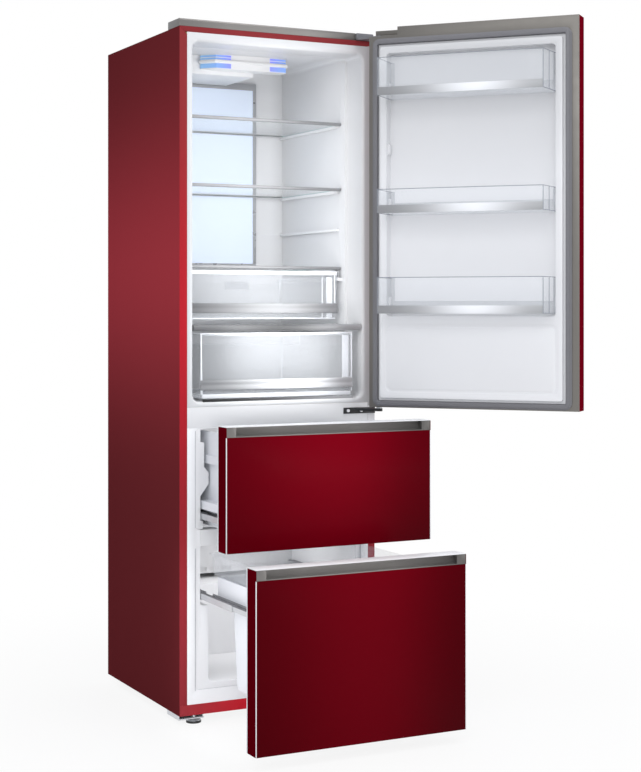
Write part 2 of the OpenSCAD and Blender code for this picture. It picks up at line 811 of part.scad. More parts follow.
// Clear box with an open top; the walls lean out by lean towards the rim
module clear_box(w, l, h, lean) {
    difference() {
        box_body(w, l, h, lean, 0);
        translate([0, 0, box_t]) box_body(w, l, h, lean, box_t);
    }
}
module box_body(w, l, h, lean, t) {
    along_y(t, l - t) polygon([[-w / 2 + lean + t, 0], [w / 2 - lean - t, 0],
        [w / 2 - t, h], [-w / 2 + t, h]]);
}

module crisper_box() {
    color([0.90, 0.94, 0.98, 0.5]) translate([0, crisper_front, crisper_z]) {
        difference() {
            clear_box(crisper_w, crisper_l, crisper_h, 5);
            // stepped-down rear half of the side walls
            span([-crisper_w, crisper_l - 120, crisper_h - 40], [crisper_w, crisper_l + e, crisper_h + e]);
        }
        // stiff upper rim along the front and base runners
        span([-crisper_w / 2 + 0.6, 0, crisper_h - 6], [crisper_w / 2 - 0.6, 6, crisper_h]);
        for (x = [-180, 180]) span([x - 4, 30, box_t], [x + 4, crisper_l - 20, box_t + 3]);
    }
}

module crisper_band() {
    z = crisper_z + 23;
    color([0.72, 0.73, 0.76]) difference() {
        span([-crisper_w / 2, crisper_front - band_t, z], [crisper_w / 2, crisper_front, z + band_h]);
        translate([-crisper_w, crisper_front - band_t - 14, z + band_h / 2]) rotate([0, 90, 0])
            cylinder(r = 15.2, h = 2 * crisper_w);
    }
}

module fresh_box() {
    color([0.90, 0.94, 0.98, 0.5]) translate([0, fresh_front, fresh_z0]) {
        clear_box(fresh_w, fresh_l, fresh_h, 8);
        both_sides() difference() {
            span([-fresh_w / 2 - flange_w, 4, fresh_h - flange_h],
                [-fresh_w / 2 + 1.2, fresh_l, fresh_h]);
            span([-fresh_w / 2 - flange_w + 2, -e, fresh_h - flange_h + 2.5],
                [-fresh_w / 2 - 1, fresh_l + e, fresh_h - 2.5]);
        }
        span([-fresh_w / 2 + 1.2, 0, fresh_h - 9], [fresh_w / 2 - 1.2, 7, fresh_h]);
    }
}

module fresh_band() {
    z = fresh_z0 + 17;
    color([0.72, 0.73, 0.76]) difference() {
        span([-fresh_w / 2, fresh_front - band_t, z], [fresh_w / 2, fresh_front, z + band_h]);
        translate([-fresh_w, fresh_front - band_t - 14, z + band_h / 2]) rotate([0, 90, 0])
            cylinder(r = 15.2, h = 2 * fresh_w);
    }
}

// Door

// Turns the closed door about its hinge axis
module door_open() {
    translate([pivot_x, pivot_y, 0]) rotate([0, 0, door_angle])
        translate([-pivot_x, -pivot_y, 0]) children();
}

// Notch for the top hinge arm
module hinge_notch() {
    span([half - notch_l, front_y + 3, notch_z], [half + e, 5, door_z1 + e]);
}

// Painted pan: the front face and its two sides
module door_panel() {
    color([0.50, 0.0, 0.07]) door_open() difference() {
        span([-half, front_y, door_z0], [half, front_y + skin_d, door_z1]);
        span([-half + skin_t, front_y + skin_t, door_z0 - e],
            [half - skin_t, front_y + skin_d + e, door_z1 + e]);
        hinge_notch();
    }
}

// Grey frame behind the pan, with the top and bottom caps and the hinge bushes
module door_frame() {
    y0 = front_y + skin_d;
    x_in = half - skin_t;
    rim = 42; // width of the frame around the liner
    color([0.48, 0.46, 0.44]) door_open() difference() {
        union() {
            difference() {
                span([-half, y0, door_z0], [half, plane_y, door_z1]);
                span([-half + rim, y0 - e, door_z0 + 24], [half - rim, plane_y + e, door_z1 - 53]);
            }
            span([-x_in, front_y + skin_t, door_z1 - 12], [x_in, y0, door_z1]);
            span([-x_in, front_y + skin_t, door_z0], [x_in, y0, door_z0 + 6]);
            // hinge blocks
            span([pivot_x - 16, front_y + skin_t, notch_z - 44], [x_in, y0, notch_z]);
            span([pivot_x - 16, front_y + skin_t, door_z0], [x_in, y0, door_z0 + 44]);
        }
        hinge_notch();
        translate([pivot_x, pivot_y, notch_z - 36]) cylinder(d = pin_d + 2 * run, h = 50);
        translate([pivot_x, pivot_y, door_z0 - e]) cylinder(d = pin_d + 2 * run, h = 36);
    }
}

liner_x = half - door_rim - door_gasket_w + liner_shift; // half width of the liner
liner_z0 = door_z0 + 20;
liner_z1 = door_z1 - 49;
recess_half_w = liner_x - recess_side;
recess_z0 = door_z0 + recess_rise;
recess_z1 = liner_z1 - 26;
bin_1_z = recess_z1 - bin_1_drop - bin_1_h;
bin_2_z = recess_z0 + bin_2_rise;
bin_3_z = recess_z0 + bin_3_rise;
bin_front_w = 2 * (recess_half_w - bin_draw);
floor_y = plane_y - recess_d;
rise_y = -1.5; // plane of the raised border

// The white door liner: flange, raised border, deep bin recess, embossed lower panel, bosses
module door_liner() {
    color([0.95, 0.95, 0.97]) door_open() translate([liner_shift, 0, 0]) {
        difference() {
            union() {
                along_y(plane_y, plane_y + 1.5) round_rect(-liner_x, liner_x, liner_z0, liner_z1, 3);
                along_y(plane_y, rise_y)
                    round_rect(-liner_x + 7, liner_x - 7, liner_z0 + 7, liner_z1 - 7, 6);
                along_y(floor_y - 2, plane_y) round_rect(-recess_half_w - 2, recess_half_w + 2,
                    recess_z0 - 2, recess_z1 + 2, 12);
            }
            along_y(floor_y, 0)
                round_rect(-recess_half_w, recess_half_w, recess_z0, recess_z1, 10);
            // the border is hollow from behind, below the recess
            along_y(plane_y - e, rise_y - 2) round_rect(-liner_x + 14, liner_x - 14, liner_z0 + 14,
                recess_z0 - 8, 14);
            // groove around the embossed panel
            along_y(rise_y - 1, 0) difference() {
                round_rect(-liner_x + 22, liner_x - 22, liner_z0 + 24, recess_z0 - 22, 18);
                round_rect(-liner_x + 30, liner_x - 30, liner_z0 + 32, recess_z0 - 30, 12);
            }
        }
        // bosses on which the bins hang
        both_sides() for (z = [bin_1_z, bin_2_z, bin_3_z, (bin_1_z + bin_2_z) / 2 - 10])
            span([-recess_half_w, floor_y + 6, z + 18], [-recess_half_w + 5, floor_y + 22, z + 46]);
    }
}

// Gasket: broad foot on the frame and a narrower magnet lip
module gasket(x0, x1, z0, z1, r, w) {
    swept_frame(x0, x1, z0, z1, r) polygon([[0.3, plane_y], [w, plane_y], [w, -7],
        [w - 4.5, -5.5], [w - 4.5, -0.5], [1.5, -0.5], [1.5, -5.5], [0.3, -7]]);
}
module door_gasket() {
    color([0.45, 0.45, 0.47]) door_open() translate([liner_shift, 0, 0])
        gasket(-liner_x, liner_x, liner_z0, liner_z1, 3, door_gasket_w);
}

module door_foam() {
    color([0.93, 0.86, 0.62]) door_open() difference() {
        span([-half + 43, front_y + skin_t + 0.1, door_z0 + 46],
            [half - 43, plane_y - 0.1, door_z1 - 56]);
        translate([liner_shift, 0, 0]) along_y(floor_y - 2.1, 1) round_rect(-recess_half_w - 2.1, recess_half_w + 2.1,
            recess_z0 - 2.1, recess_z1 + 2.1, 12.1);
    }
}

bin_y0 = floor_y + 2; // back of the bins
bin_y1 = plane_y + bin_reach; // corner of the bins' fronts
bin_back_half = recess_half_w - 1;
bin_bow_r = (pow(bin_front_w / 2, 2) + pow(bin_bow, 2)) / (2 * bin_bow);

// Place across the door of a bin's side at depth y; s is -1 on the left and 1 on the right
function bin_side(s, y) = s * bin_back_half
    + (s * bin_front_w / 2 + bin_skew - s * bin_back_half) * (y - bin_y0) / (bin_y1 - bin_y0);

// Plan of a bin, shrunk by t: straight sides that draw in a little and a bowed front
module bin_plan(t) {
    y0 = bin_y0 + t;
    y1 = bin_y1 + 2 * bin_bow; // beyond the bowed front
    intersection() {
        translate([bin_skew, bin_y1 + bin_bow - bin_bow_r]) circle(bin_bow_r - t, $fn = 360);
        polygon([[bin_side(-1, y0) + t, y0], [bin_side(1, y0) - t, y0],
            [bin_side(1, y1) - t, y1], [bin_side(-1, y1) + t, y1]]);
    }
}

module door_bin(z, h) {
    difference() {
        translate([0, 0, z]) linear_extrude(h) bin_plan(0);
        translate([0, 0, z + bin_t]) linear_extrude(h) bin_plan(bin_t);
        // low rear wall
        span([-bin_back_half + 12, bin_y0 - 1, z + 34], [bin_back_half - 12, bin_y0 + bin_t + 1, z + h + e]);
        // slots that hang on the liner's bosses
        both_sides() span([-bin_back_half - 2, floor_y, z - e], [-bin_back_half + 5.5,
            floor_y + 22 + seat, z + 46 + seat]);
    }
}
module door_bins() {
    color([0.88, 0.92, 0.98, 0.4]) door_open() translate([liner_shift, 0, 0]) {
        door_bin(bin_1_z, bin_1_h);
        door_bin(bin_2_z, bin_2_h);
        door_bin(bin_3_z, bin_3_h);
    }
}

// Curved silver band on the lower front of a bin
module bin_band(z) {
    translate([0, 0, z]) linear_extrude(bin_band_h) difference() {
        intersection() {
            translate([0, bin_y1 + bin_bow - bin_bow_r]) circle(bin_bow_r + 2, $fn = 360);
            translate([-bin_front_w / 2 + 1, bin_y1 - 3]) square([bin_front_w - 2, 20]);
        }
        translate([0, bin_y1 + bin_bow - bin_bow_r]) circle(bin_bow_r + 0.05, $fn = 360);
    }
}
module door_bin_bands() {
    color([0.74, 0.75, 0.78]) door_open() translate([liner_shift + bin_skew, 0, 0])
        for (z = [bin_1_z, bin_2_z, bin_3_z]) bin_band(z);
}

// Freezer drawer fronts

// Painted front, hollow at the back, with room for the grip strip and the lid at its top
module drawer_front(z0, z1) {
    difference() {
        span([-half, front_y, z0], [half, plane_y - 5, z1 - lid_t]);
        span([-half + skin_t, front_y + skin_t, z0 + skin_t],
            [half - skin_t, plane_y, z1 - grip_h - skin_t]);
        span([-half + skin_t, front_y - e, z1 - grip_h], [half - skin_t, plane_y, z1 + e]);
    }
}
drawer_seal_x = half - 31; // inner edge of a drawer's gasket
lid_t = 1.6; // thickness of the white lid over a front

// Grip strip between two end blocks; its groove deepens towards the lid
module drawer_grip(z1) {
    x1 = half - skin_t;
    z0 = z1 - grip_h;
    rise = grip_h - lid_t - 2.5;
    r = (groove_d * groove_d + rise * rise) / (2 * groove_d);
    difference() {
        span([-x1, front_y, z0], [x1, front_y + groove_d + 9, z1 - lid_t]);
        translate([-x1 + grip_end, front_y + groove_d - r, z1 - lid_t]) rotate([0, 90, 0])
            cylinder(r = r, h = 2 * (x1 - grip_end), $fn = 96);
    }
}

// White inner panel: closes the front from behind, and its lid covers the top
module drawer_inner_panel(z0, z1) {
    x1 = half - skin_t;
    difference() {
        union() {
            span([-half, plane_y - 5, z0], [half, plane_y, z1]);
            span([-x1, front_y + groove_d + 9, z1 - grip_h], [x1, plane_y - 5, z1]);
            span([-half, front_y + 0.6, z1 - lid_t], [half, plane_y, z1]);
            along_y(plane_y, plane_y + 4)
                round_rect(-half + 50, half - 50, z0 + 34, z1 - 34, 16);
        }
        // shallow stiffening field
        along_y(plane_y + 2, plane_y + 5) round_rect(-half + 70, half - 70, z0 + 54, z1 - 54, 12);
    }
}

module upper_pulled() translate([0, -upper_out, 0]) children();
module lower_pulled() translate([0, -lower_out, 0]) children();

module upper_front() color([0.50, 0.0, 0.07]) upper_pulled() drawer_front(upper_z0, upper_z1);
module upper_grip() color([0.48, 0.46, 0.44]) upper_pulled() drawer_grip(upper_z1);
module upper_inner_panel()
    color([0.93, 0.94, 0.95]) upper_pulled() drawer_inner_panel(upper_z0, upper_z1);
module upper_gasket()
    color([0.62, 0.62, 0.63]) upper_pulled() gasket(-drawer_seal_x, drawer_seal_x, upper_z0 + 25, upper_z1 - 25, 14, 24);
module lower_front() color([0.50, 0.0, 0.07]) lower_pulled() drawer_front(lower_z0, lower_z1);
module lower_grip() color([0.48, 0.46, 0.44]) lower_pulled() drawer_grip(lower_z1);
module lower_inner_panel()
    color([0.93, 0.94, 0.95]) lower_pulled() drawer_inner_panel(lower_z0, lower_z1);
module lower_gasket()
    color([0.62, 0.62, 0.63]) lower_pulled() gasket(-drawer_seal_x, drawer_seal_x, lower_z0 + 28, lower_z1 - 25, 14, 24);

// Slides

// Rail section open towards the middle of the cabinet, its web at x0, drawn in x and z
module c_section(x0, w, h, zc) {
    translate([x0, zc - h / 2]) difference() {
        square([w, h]);
        translate([rail_t, rail_t]) square([w - 2 * rail_t, h - 2 * rail_t]);
        translate([w - rail_t - 1, rail_t + rail_lip]) square([rail_t + 2, h - 2 * rail_t - 2 * rail_lip]);
    }
}
outer_x = -freezer_half;
mid_x = outer_x + rail_t + slide_gap;
head_x = mid_x + rail_t + slide_gap;
head_w = mid_w - 2 * rail_t - 2 * slide_gap;
neck_h = head_h - 2 * rail_lip;

module outer_rail(zc) both_sides() along_y(rail_y0, rail_y0 + rail_l) c_section(outer_x, rail_w, rail_h, zc);
module outer_rails() {
    color([0.55, 0.56, 0.58]) {
        outer_rail(upper_slide_z);
        outer_rail(lower_slide_z);
    }
}

// Middle rails follow at half the drawer's travel
module middle_rail(zc) both_sides() along_y(rail_y0, rail_y0 + rail_l) c_section(mid_x, mid_w, mid_h, zc);
module upper_middle_rails()
    color([0.70, 0.71, 0.73]) translate([0, -upper_out / 2, 0]) middle_rail(upper_slide_z);
module lower_middle_rails()
    color([0.70, 0.71, 0.73]) translate([0, -lower_out / 2, 0]) middle_rail(lower_slide_z);

// Inner rail: a head inside the middle rail, a neck and a plate against the box
module inner_rail(zc, y0) {
    both_sides() along_y(y0, rail_y0 + rail_l) {
        translate([head_x, zc - head_h / 2]) square([head_w, head_h]);
        translate([head_x, zc - neck_h / 2]) square([-box_half - head_x, neck_h]);
        translate([-box_half - 2, zc - 8]) square([2, 16]);
    }
}
module upper_inner_rails()
    color([0.70, 0.71, 0.73]) upper_pulled() inner_rail(upper_slide_z, plane_y + 4.3);
module lower_inner_rails()
    color([0.70, 0.71, 0.73]) lower_pulled() inner_rail(lower_slide_z, plane_y + 4.3);

// Freezer boxes

ledge_z0 = upper_slide_z + 19;

// Upper basket: body between the slides, ledge above them, stiff rim and clear collar
module upper_basket() {
    z0 = beam_z1 + 9;
    rim_z = 700;
    top_z = 785;
    y0 = basket_y0;
    y1 = y0 + basket_l;
    color([0.93, 0.95, 0.98]) upper_pulled() difference() {
        union() {
            span([-box_half, y0, z0], [box_half, y1, top_z]);
            span([-freezer_half + 5, y0, ledge_z0], [freezer_half - 5, y1, ledge_z0 + 22]);
            span([-box_half - 11, y0, rim_z], [box_half + 11, y1, rim_z + 22]);
            span([-box_half - 6, y0, rim_z + 22], [box_half + 6, y1, top_z]);
        }
        span([-box_half + basket_t, y0 + basket_t, z0 + basket_t],
            [box_half - basket_t, y1 - basket_t, top_z + e]);
        // cut-away rear of the clear collar
        span([-freezer_half, y1 - 70, rim_z + 30], [freezer_half, y1 + e, top_z + e]);
    }
}

// Deep lower bin: shoulder band above, narrower and shorter body below
module lower_bin() {
    z2 = box_top;
    z1 = z2 - shoulder_h;
    z0 = freezer_floor + 10;
    y0 = basket_y0;
    color([0.94, 0.95, 0.97]) lower_pulled() difference() {
        union() {
            span([-box_half, y0, z1], [box_half, y0 + basket_l - 16, z2]);
            low_body(z0, z1 + 4, y0, 0);
        }
        span([-box_half + basket_t, y0 + basket_t, z1 + basket_t],
            [box_half - basket_t, y0 + basket_l - 16 - basket_t, z2 + e]);
        low_body(z0 + basket_t, z1 + 5, y0, basket_t);
    }
}
module low_body(z0, z1, y0, t) {
    w = box_half - 9 - t;
    along_x(-w, w) polygon([[y0 + t, z0], [y0 + bin_low_l - 34 - t, z0],
        [y0 + bin_low_l - 24 - t, z0 + 16], [y0 + bin_low_l - t, z1], [y0 + t, z1]]);
}

// Clear tray that slides on the edge of the lower bin
module freezer_tray() {
    z0 = box_top + seat;
    h = 62;
    y0 = basket_y0 + 2;
    color([0.88, 0.92, 0.98, 0.45]) lower_pulled() difference() {
        union() {
            along_y(y0, y0 + tray_l) polygon([[-box_half, z0], [box_half, z0],
                [box_half + 7, z0 + h], [-box_half - 7, z0 + h]]);
            span([-box_half - 14, y0, z0 + h - 5], [box_half + 14, y0 + tray_l, z0 + h]);
        }
        along_y(y0 + box_t, y0 + tray_l - box_t) polygon([[-box_half + box_t, z0 + box_t],
            [box_half - box_t, z0 + box_t], [box_half + 7 - box_t, z0 + h + e],
            [-box_half - 7 + box_t, z0 + h + e]]);
    }
}

// Cooling parts

module evaporator_cover() {
    color([0.92, 0.93, 0.95]) difference() {
        along_y(evap_cover_y, evap_cover_y + 3) round_rect(-freezer_half + seat,
            freezer_half - seat, freezer_step_z + 14, freezer_top - seat, 10);
        // ring of air slots in front of the fan
        for (z = [-40 : 16 : 40]) span([-44, evap_cover_y - e, fan_z + z - 4],
            [44, evap_cover_y + 3 + e, fan_z + z + 4]);
        // return slots near the bottom
        for (x = [-180 : 40 : 180]) span([x - 14, evap_cover_y - e, freezer_step_z + 20],
            [x + 14, evap_cover_y + 3 + e, freezer_step_z + 32]);
    }
}

// Finned coil: flat fins threaded on rows of tube joined by bends
module evaporator() {
    y = evap_cover_y + 46;
    z0 = freezer_step_z + 50;
    rows = 6;
    pitch = 34;
    reach = freezer_half - 49;
    side = freezer_half - 57; // end plates
    color([0.78, 0.80, 0.82]) {
        for (i = [0 : rows - 1], s = [-1, 1])
            translate([-reach, y + 14 * s, z0 + 15 + pitch * i]) rotate([0, 90, 0])
                cylinder(d = 8, h = 2 * reach);
        for (i = [0 : rows - 1], m = [0, 1]) translate([0, y, z0 + 15 + pitch * i])
            mirror([m, 0, 0]) translate([reach, 0, 0]) rotate([0, 0, -90])
                rotate_extrude(angle = 180) translate([14, 0]) circle(d = 8);
        for (i = [0 : fins - 1]) translate([(side - 10) * (2 * i / (fins - 1) - 1) - 0.5, y - 27, z0])
            cube([1, 54, rows * pitch - 4]);
        // end plates that carry the tubes and reach the liner's walls
        both_sides() {
            translate([-side, y - 27, z0]) cube([1.5, 54, rows * pitch - 4]);
            translate([-freezer_half, y - 27, z0])
                cube([freezer_half - side + 1, 1.5, rows * pitch - 4]);
        }
    }
}

module fan_motor() {
    color([0.30, 0.31, 0.33]) difference() {
        union() {
            translate([0, motor_y, fan_z]) rotate([-90, 0, 0])
                cylinder(d = 52, h = freezer_back - motor_y);
            // three mounting feet on the back wall
            for (a = [30, 150, 270]) translate([0, freezer_back, fan_z]) rotate([90, a, 0])
                translate([0, -8, 0]) cube([48, 16, 4]);
        }
        translate([0, motor_y - e, fan_z]) rotate([-90, 0, 0]) cylinder(d = 5 + 2 * run, h = 20);
    }
}

// Axial fan: hub, shaft and pitched blades
module evaporator_fan() {
    hub_d = 36;
    color([0.85, 0.87, 0.90]) translate([0, fan_y, fan_z]) rotate([-90, 0, 0]) {
        translate([0, 0, -3]) cylinder(d = hub_d, h = 20);
        cylinder(d = 5, h = motor_y - fan_y + 18);
        intersection() {
            for (i = [0 : fan_blades - 1]) rotate([0, 0, 360 / fan_blades * i])
                translate([hub_d / 2 - 2, 0, 7]) rotate([32, 0, 0])
                    translate([0, -13, -0.8]) cube([fan_d / 2 - hub_d / 2 + 2, 26, 1.6]);
            translate([0, 0, -20]) cylinder(d = fan_d, h = 60);
        }
    }
}

// Hermetic compressor: domed shell on a foot plate with rubber feet and pipe stubs
module compressor() {
    r = comp_d / 2;
    x = 60;
    y = bay_y + 20 + r;
    z = tray_z + sheet_t + 14;
    color([0.09, 0.09, 0.10]) translate([x, y, z]) {
        difference() {
            rotate_extrude() dome_profile(r, comp_h);
            rotate_extrude() translate([0, 4]) dome_profile(r - 4, comp_h - 8);
        }
        translate([0, 0, comp_h / 2 - 4]) cylinder(r = r + 3, h = 6);
        difference() {
            translate([-105, -60, -6]) cube([210, 120, 4]);
            translate([0, 0, -7]) cylinder(r = r - 30, h = 6);
        }
        difference() {
            translate([0, 0, -2]) cylinder(r = r - 22, h = 8);
            translate([0, 0, -3]) cylinder(r = r - 26, h = 12);
        }
        for (sx = [-1, 1], sy = [-1, 1]) translate([92 * sx, 48 * sy, -14]) {
            cylinder(d = 20, h = 8);
            cylinder(d = 8, h = 18);
        }
        // terminal box and pipe stubs
        translate([-r - 24, -26, 40]) cube([30, 52, 46]);
        for (a = [40, 75]) rotate([0, 0, a]) translate([r - 3, 0, 50]) rotate([0, 90, 0])
            cylinder(d = 8, h = 22);
    }
}
module dome_profile(r, h) {
    k = 26; // corner rounding of the shell
    translate([0, 0]) square([r - k, h]);
    translate([0, k]) square([r, h - 2 * k]);
    intersection() {
        union() for (z = [k, h - k]) translate([r - k, z]) circle(k);
        square([r, h]);
    }
}

// Grommet through which a mains lead would leave
module cord_gland() {
    color([0.07, 0.07, 0.07]) translate([-inner_half + 50, cab_d - 10, tray_z + 20])
        rotate([-90, 0, 0]) difference() {
            union() {
                cylinder(d = gland_d, h = 4);
                translate([0, 0, 4]) cylinder(d = gland_d + 6, h = 3);
                translate([0, 0, -3]) cylinder(d = gland_d + 4, h = 3);
            }
            translate([0, 0, -4]) cylinder(d = 8.4, h = 14);
        }
}

// Condenser tube in the air gap behind the foam
module condenser() {
    d = 5;
    y = cab_d - sheet_t - d / 2 - seat;
    runs = 10;
    pitch = 50;
    z0 = 420;
    z1 = cab_top - 116;
    x0 = -pitch * (runs - 1) / 2;
    color([0.30, 0.24, 0.20]) {
        for (i = [0 : runs - 1]) translate([x0 + pitch * i, y, z0]) cylinder(d = d, h = z1 - z0);
        for (i = [0 : runs - 2]) translate([x0 + pitch * (i + 0.5), y, i % 2 ? z0 : z1])
            rotate([i % 2 ? -90 : 90, 0, 0]) rotate_extrude(angle = 180)
                translate([pitch / 2, 0]) circle(d = d);
    }
}

// Shallow pan that catches the melt water on the warm compressor
module drip_tray() {
    z = tray_z + sheet_t + 14 + comp_h;
    y = bay_y + 20 + comp_d / 2;
    color([0.16, 0.16, 0.17]) translate([60, y, z]) difference() {
        along_y(-64, 64) round_rect(-92, 92, 0, 34, 6);
        along_y(-61, 61) round_rect(-89, 89, 3, 60, 5);
    }
}

// Feet and rollers

module foot_brackets() {
    x0 = -half + 0.5;
    x1 = -half + bracket_w;
    y0 = 8;
    y1 = y0 + bracket_l;
    yw = 14 + seat; // walls start behind the base's folded edge
    under = floor_sheet_z - sheet_t;
    color([0.62, 0.63, 0.65]) both_sides() difference() {
        union() {
            span([x0, y0, bracket_z], [x1, y1, bracket_z + 3]);
            span([x0, y0, bracket_z], [x0 + 2.5, y1, cab_base]);
            span([x1 - 2.5, yw, bracket_z], [x1, y1, under]);
            span([x0 + 2.5, y1 - 4, bracket_z], [x1, y1, under]);
            span([x0, yw, cab_base - 3], [-inner_half + 2, y1, cab_base]);
            span([-inner_half, yw, cab_base - 3], [-inner_half + 2, y1, under]);
        }
        translate([-foot_x, foot_inset, bracket_z - e]) cylinder(d = stud_d + 2 * run, h = 4);
    }
}

// Levelling foot: round pad, hexagon and threaded stud
module foot() {
    color([0.70, 0.71, 0.73]) {
        cylinder(d = pad_d, h = pad_h - 3);
        translate([0, 0, pad_h - 3]) cylinder(d1 = pad_d, d2 = pad_d - 12, h = 3, $fn = 64);
        translate([0, 0, pad_h]) cylinder(d = 17, h = bracket_z - pad_h - seat, $fn = 6);
        translate([0, 0, pad_h]) cylinder(d = stud_d, h = 24);
    }
}
module foot_left() translate([-foot_x, foot_inset, 0]) foot();
module foot_right() translate([foot_x, foot_inset, 0]) foot();

// Rear roller with a raised hub and a light groove
module roller() {
    color([0.13, 0.13, 0.14]) rotate([0, 90, 0]) difference() {
        translate([0, 0, -roller_w / 2]) cylinder(d = roller_d, h = roller_w, $fn = 96);
        translate([0, 0, -roller_w]) cylinder(d = axle_d + 2 * run, h = 2 * roller_w);
        for (s = [0, 1]) mirror([0, 0, s]) translate([0, 0, roller_w / 2 - 3]) difference() {
            cylinder(d = roller_d - 10, h = 4);
            translate([0, 0, -1]) cylinder(d = axle_d + 9, h = 6);
        }
    }
}
module roller_left() translate([-roller_x, roller_y, roller_d / 2]) roller();
module roller_right() translate([roller_x, roller_y, roller_d / 2]) roller();

on_feet() side_panel_left();
on_feet() side_panel_right();
on_feet() top_panel();
on_feet() back_panel();
on_feet() base_plate();
on_feet() top_cap();
on_feet() top_hinge();
on_feet() centre_hinge();
on_feet() hinge_pins();
on_feet() fridge_liner();
on_feet() freezer_liner();
on_feet() beam_covers();
on_feet() freezer_side_trims();
on_feet() insulation_foam();
on_feet() light_panel_frame();
on_feet() light_diffuser();
on_feet() ceiling_duct();
on_feet() duct_lamps();
on_feet() glass_shelves();
on_feet() shelf_trims();
on_feet() outer_rails();
on_feet() evaporator();
on_feet() evaporator_cover();
on_feet() fan_motor();
on_feet() compressor();
on_feet() condenser();
on_feet() drip_tray();
on_feet() cord_gland();
on_feet() foot_brackets();
on_feet() foot_left();
on_feet() foot_right();
on_feet() roller_left();
on_feet() roller_right();
on_feet() evaporator_fan();
on_feet() door_panel();
on_feet() door_frame();
on_feet() door_liner();
on_feet() door_gasket();
on_feet() door_foam();
on_feet() door_bins();
on_feet() door_bin_bands();
on_feet() upper_front();
on_feet() upper_grip();
on_feet() upper_inner_panel();
on_feet() upper_gasket();
on_feet() upper_basket();
on_feet() upper_inner_rails();
on_feet() upper_middle_rails();
on_feet() lower_front();
on_feet() lower_grip();
on_feet() lower_inner_panel();
on_feet() lower_gasket();
on_feet() lower_bin();
on_feet() lower_inner_rails();
on_feet() lower_middle_rails();
on_feet() freezer_tray();
on_feet() crisper_box();
on_feet() crisper_band();
on_feet() fresh_box();
on_feet() fresh_band();
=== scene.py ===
# %% [markdown]
# # Dressing a fridge freezer
# The imported solids already have the right sizes and joints. This lesson gives them rounded
# edges, small fittings and finishes.

# %% Load the solids
import json
import math

import bmesh
import bpy
from mathutils import Matrix, Vector


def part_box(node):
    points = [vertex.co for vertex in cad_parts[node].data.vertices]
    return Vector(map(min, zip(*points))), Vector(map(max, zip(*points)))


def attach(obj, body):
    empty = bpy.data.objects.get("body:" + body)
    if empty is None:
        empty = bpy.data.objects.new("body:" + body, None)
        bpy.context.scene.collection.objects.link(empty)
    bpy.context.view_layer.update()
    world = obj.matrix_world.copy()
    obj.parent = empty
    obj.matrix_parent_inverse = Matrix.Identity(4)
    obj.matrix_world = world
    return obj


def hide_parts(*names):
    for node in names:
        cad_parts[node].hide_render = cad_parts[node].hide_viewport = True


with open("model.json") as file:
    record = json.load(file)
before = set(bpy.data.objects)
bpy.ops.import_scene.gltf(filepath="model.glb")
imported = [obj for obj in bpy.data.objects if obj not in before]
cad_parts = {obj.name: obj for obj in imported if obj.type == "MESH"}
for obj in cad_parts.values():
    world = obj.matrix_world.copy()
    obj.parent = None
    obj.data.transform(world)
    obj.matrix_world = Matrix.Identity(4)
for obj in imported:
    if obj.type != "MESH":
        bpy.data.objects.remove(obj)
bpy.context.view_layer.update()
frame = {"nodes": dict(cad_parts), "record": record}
nodes = frame["nodes"]

# %% [markdown]
# ## The camera
# The photograph was taken from the left front, level, with a long lens. The place, the turn
# and the lens come from fitting the cabinet's corners. A camera that is tilted down would make
# upright edges lean, so it stays level, and a small shift puts the fridge where it stands in
# the picture.

# %% Place the camera
FRAME_LONG_SIDE = 772  # the picture's height in pixels
LENS_PX = 1622.2  # the fitted lens, in pixels
CAMERA_TURN = -27.2  # degrees from straight ahead
scene = bpy.context.scene
camera = bpy.data.objects.new("camera", bpy.data.cameras.new("camera"))
scene.collection.objects.link(camera)
camera.data.sensor_width = 36.0
camera.data.lens = LENS_PX * camera.data.sensor_width / FRAME_LONG_SIDE
camera.data.shift_x = -0.01714
camera.data.shift_y = -0.10136
camera.data.clip_end = 60.0
camera.location = (-1.91596, -4.07448, 1.11978)
camera.rotation_euler = (math.radians(90), 0, math.radians(CAMERA_TURN))
scene.camera = camera
scene.view_settings.view_transform = "Standard"
print("lens", round(camera.data.lens, 2), "mm")

# %% [markdown]
# ## The studio
# A product is photographed on a pale sweep of paper. The world and the floor could be plain
# white, but then they would light the fridge too strongly. Instead each asks what kind of ray
# looks at it: the camera and the glass see white, and everything else gets a plain level of
# light, so that a colour renders about as it is written.

# %% Helpers for shader nodes
def add_node(tree, kind, **values):
    """A shader node with values on its sockets; an underscore stands for a space."""
    node = tree.nodes.new("ShaderNode" + kind)
    for socket, value in values.items():
        node.inputs[socket.replace("_", " ")].default_value = value
    return node


def calculate(tree, operation, first, second):
    """The result of a sum on two sockets."""
    node = add_node(tree, "Math")
    node.operation = operation
    tree.links.new(first, node.inputs[0])
    tree.links.new(second, node.inputs[1])
    return node.outputs[0]


def map_range(tree, value, low, high, new_low=0.0, new_high=1.0):
    """Stretches a value from one range to another."""
    node = add_node(tree, "MapRange", From_Min=low, From_Max=high, To_Min=new_low, To_Max=new_high)
    tree.links.new(value, node.inputs["Value"])
    return node.outputs[0]


print("helpers: add_node, calculate, map_range")


# %% Helpers for kinds of ray
def seen_by(tree, *kinds):
    """A socket that is 1 for each of these kinds of ray."""
    path = add_node(tree, "LightPath")
    total = path.outputs[kinds[0]]
    for kind in kinds[1:]:
        total = calculate(tree, "MAXIMUM", total, path.outputs[kind])
    return total


def mix_shaders(tree, factor, first, second):
    """The second shader where the factor is 1, else the first."""
    mix = add_node(tree, "MixShader")
    for socket, source in zip(mix.inputs, (factor, first, second)):
        tree.links.new(source, socket)
    return mix.outputs[0]


print("helpers: seen_by, mix_shaders")

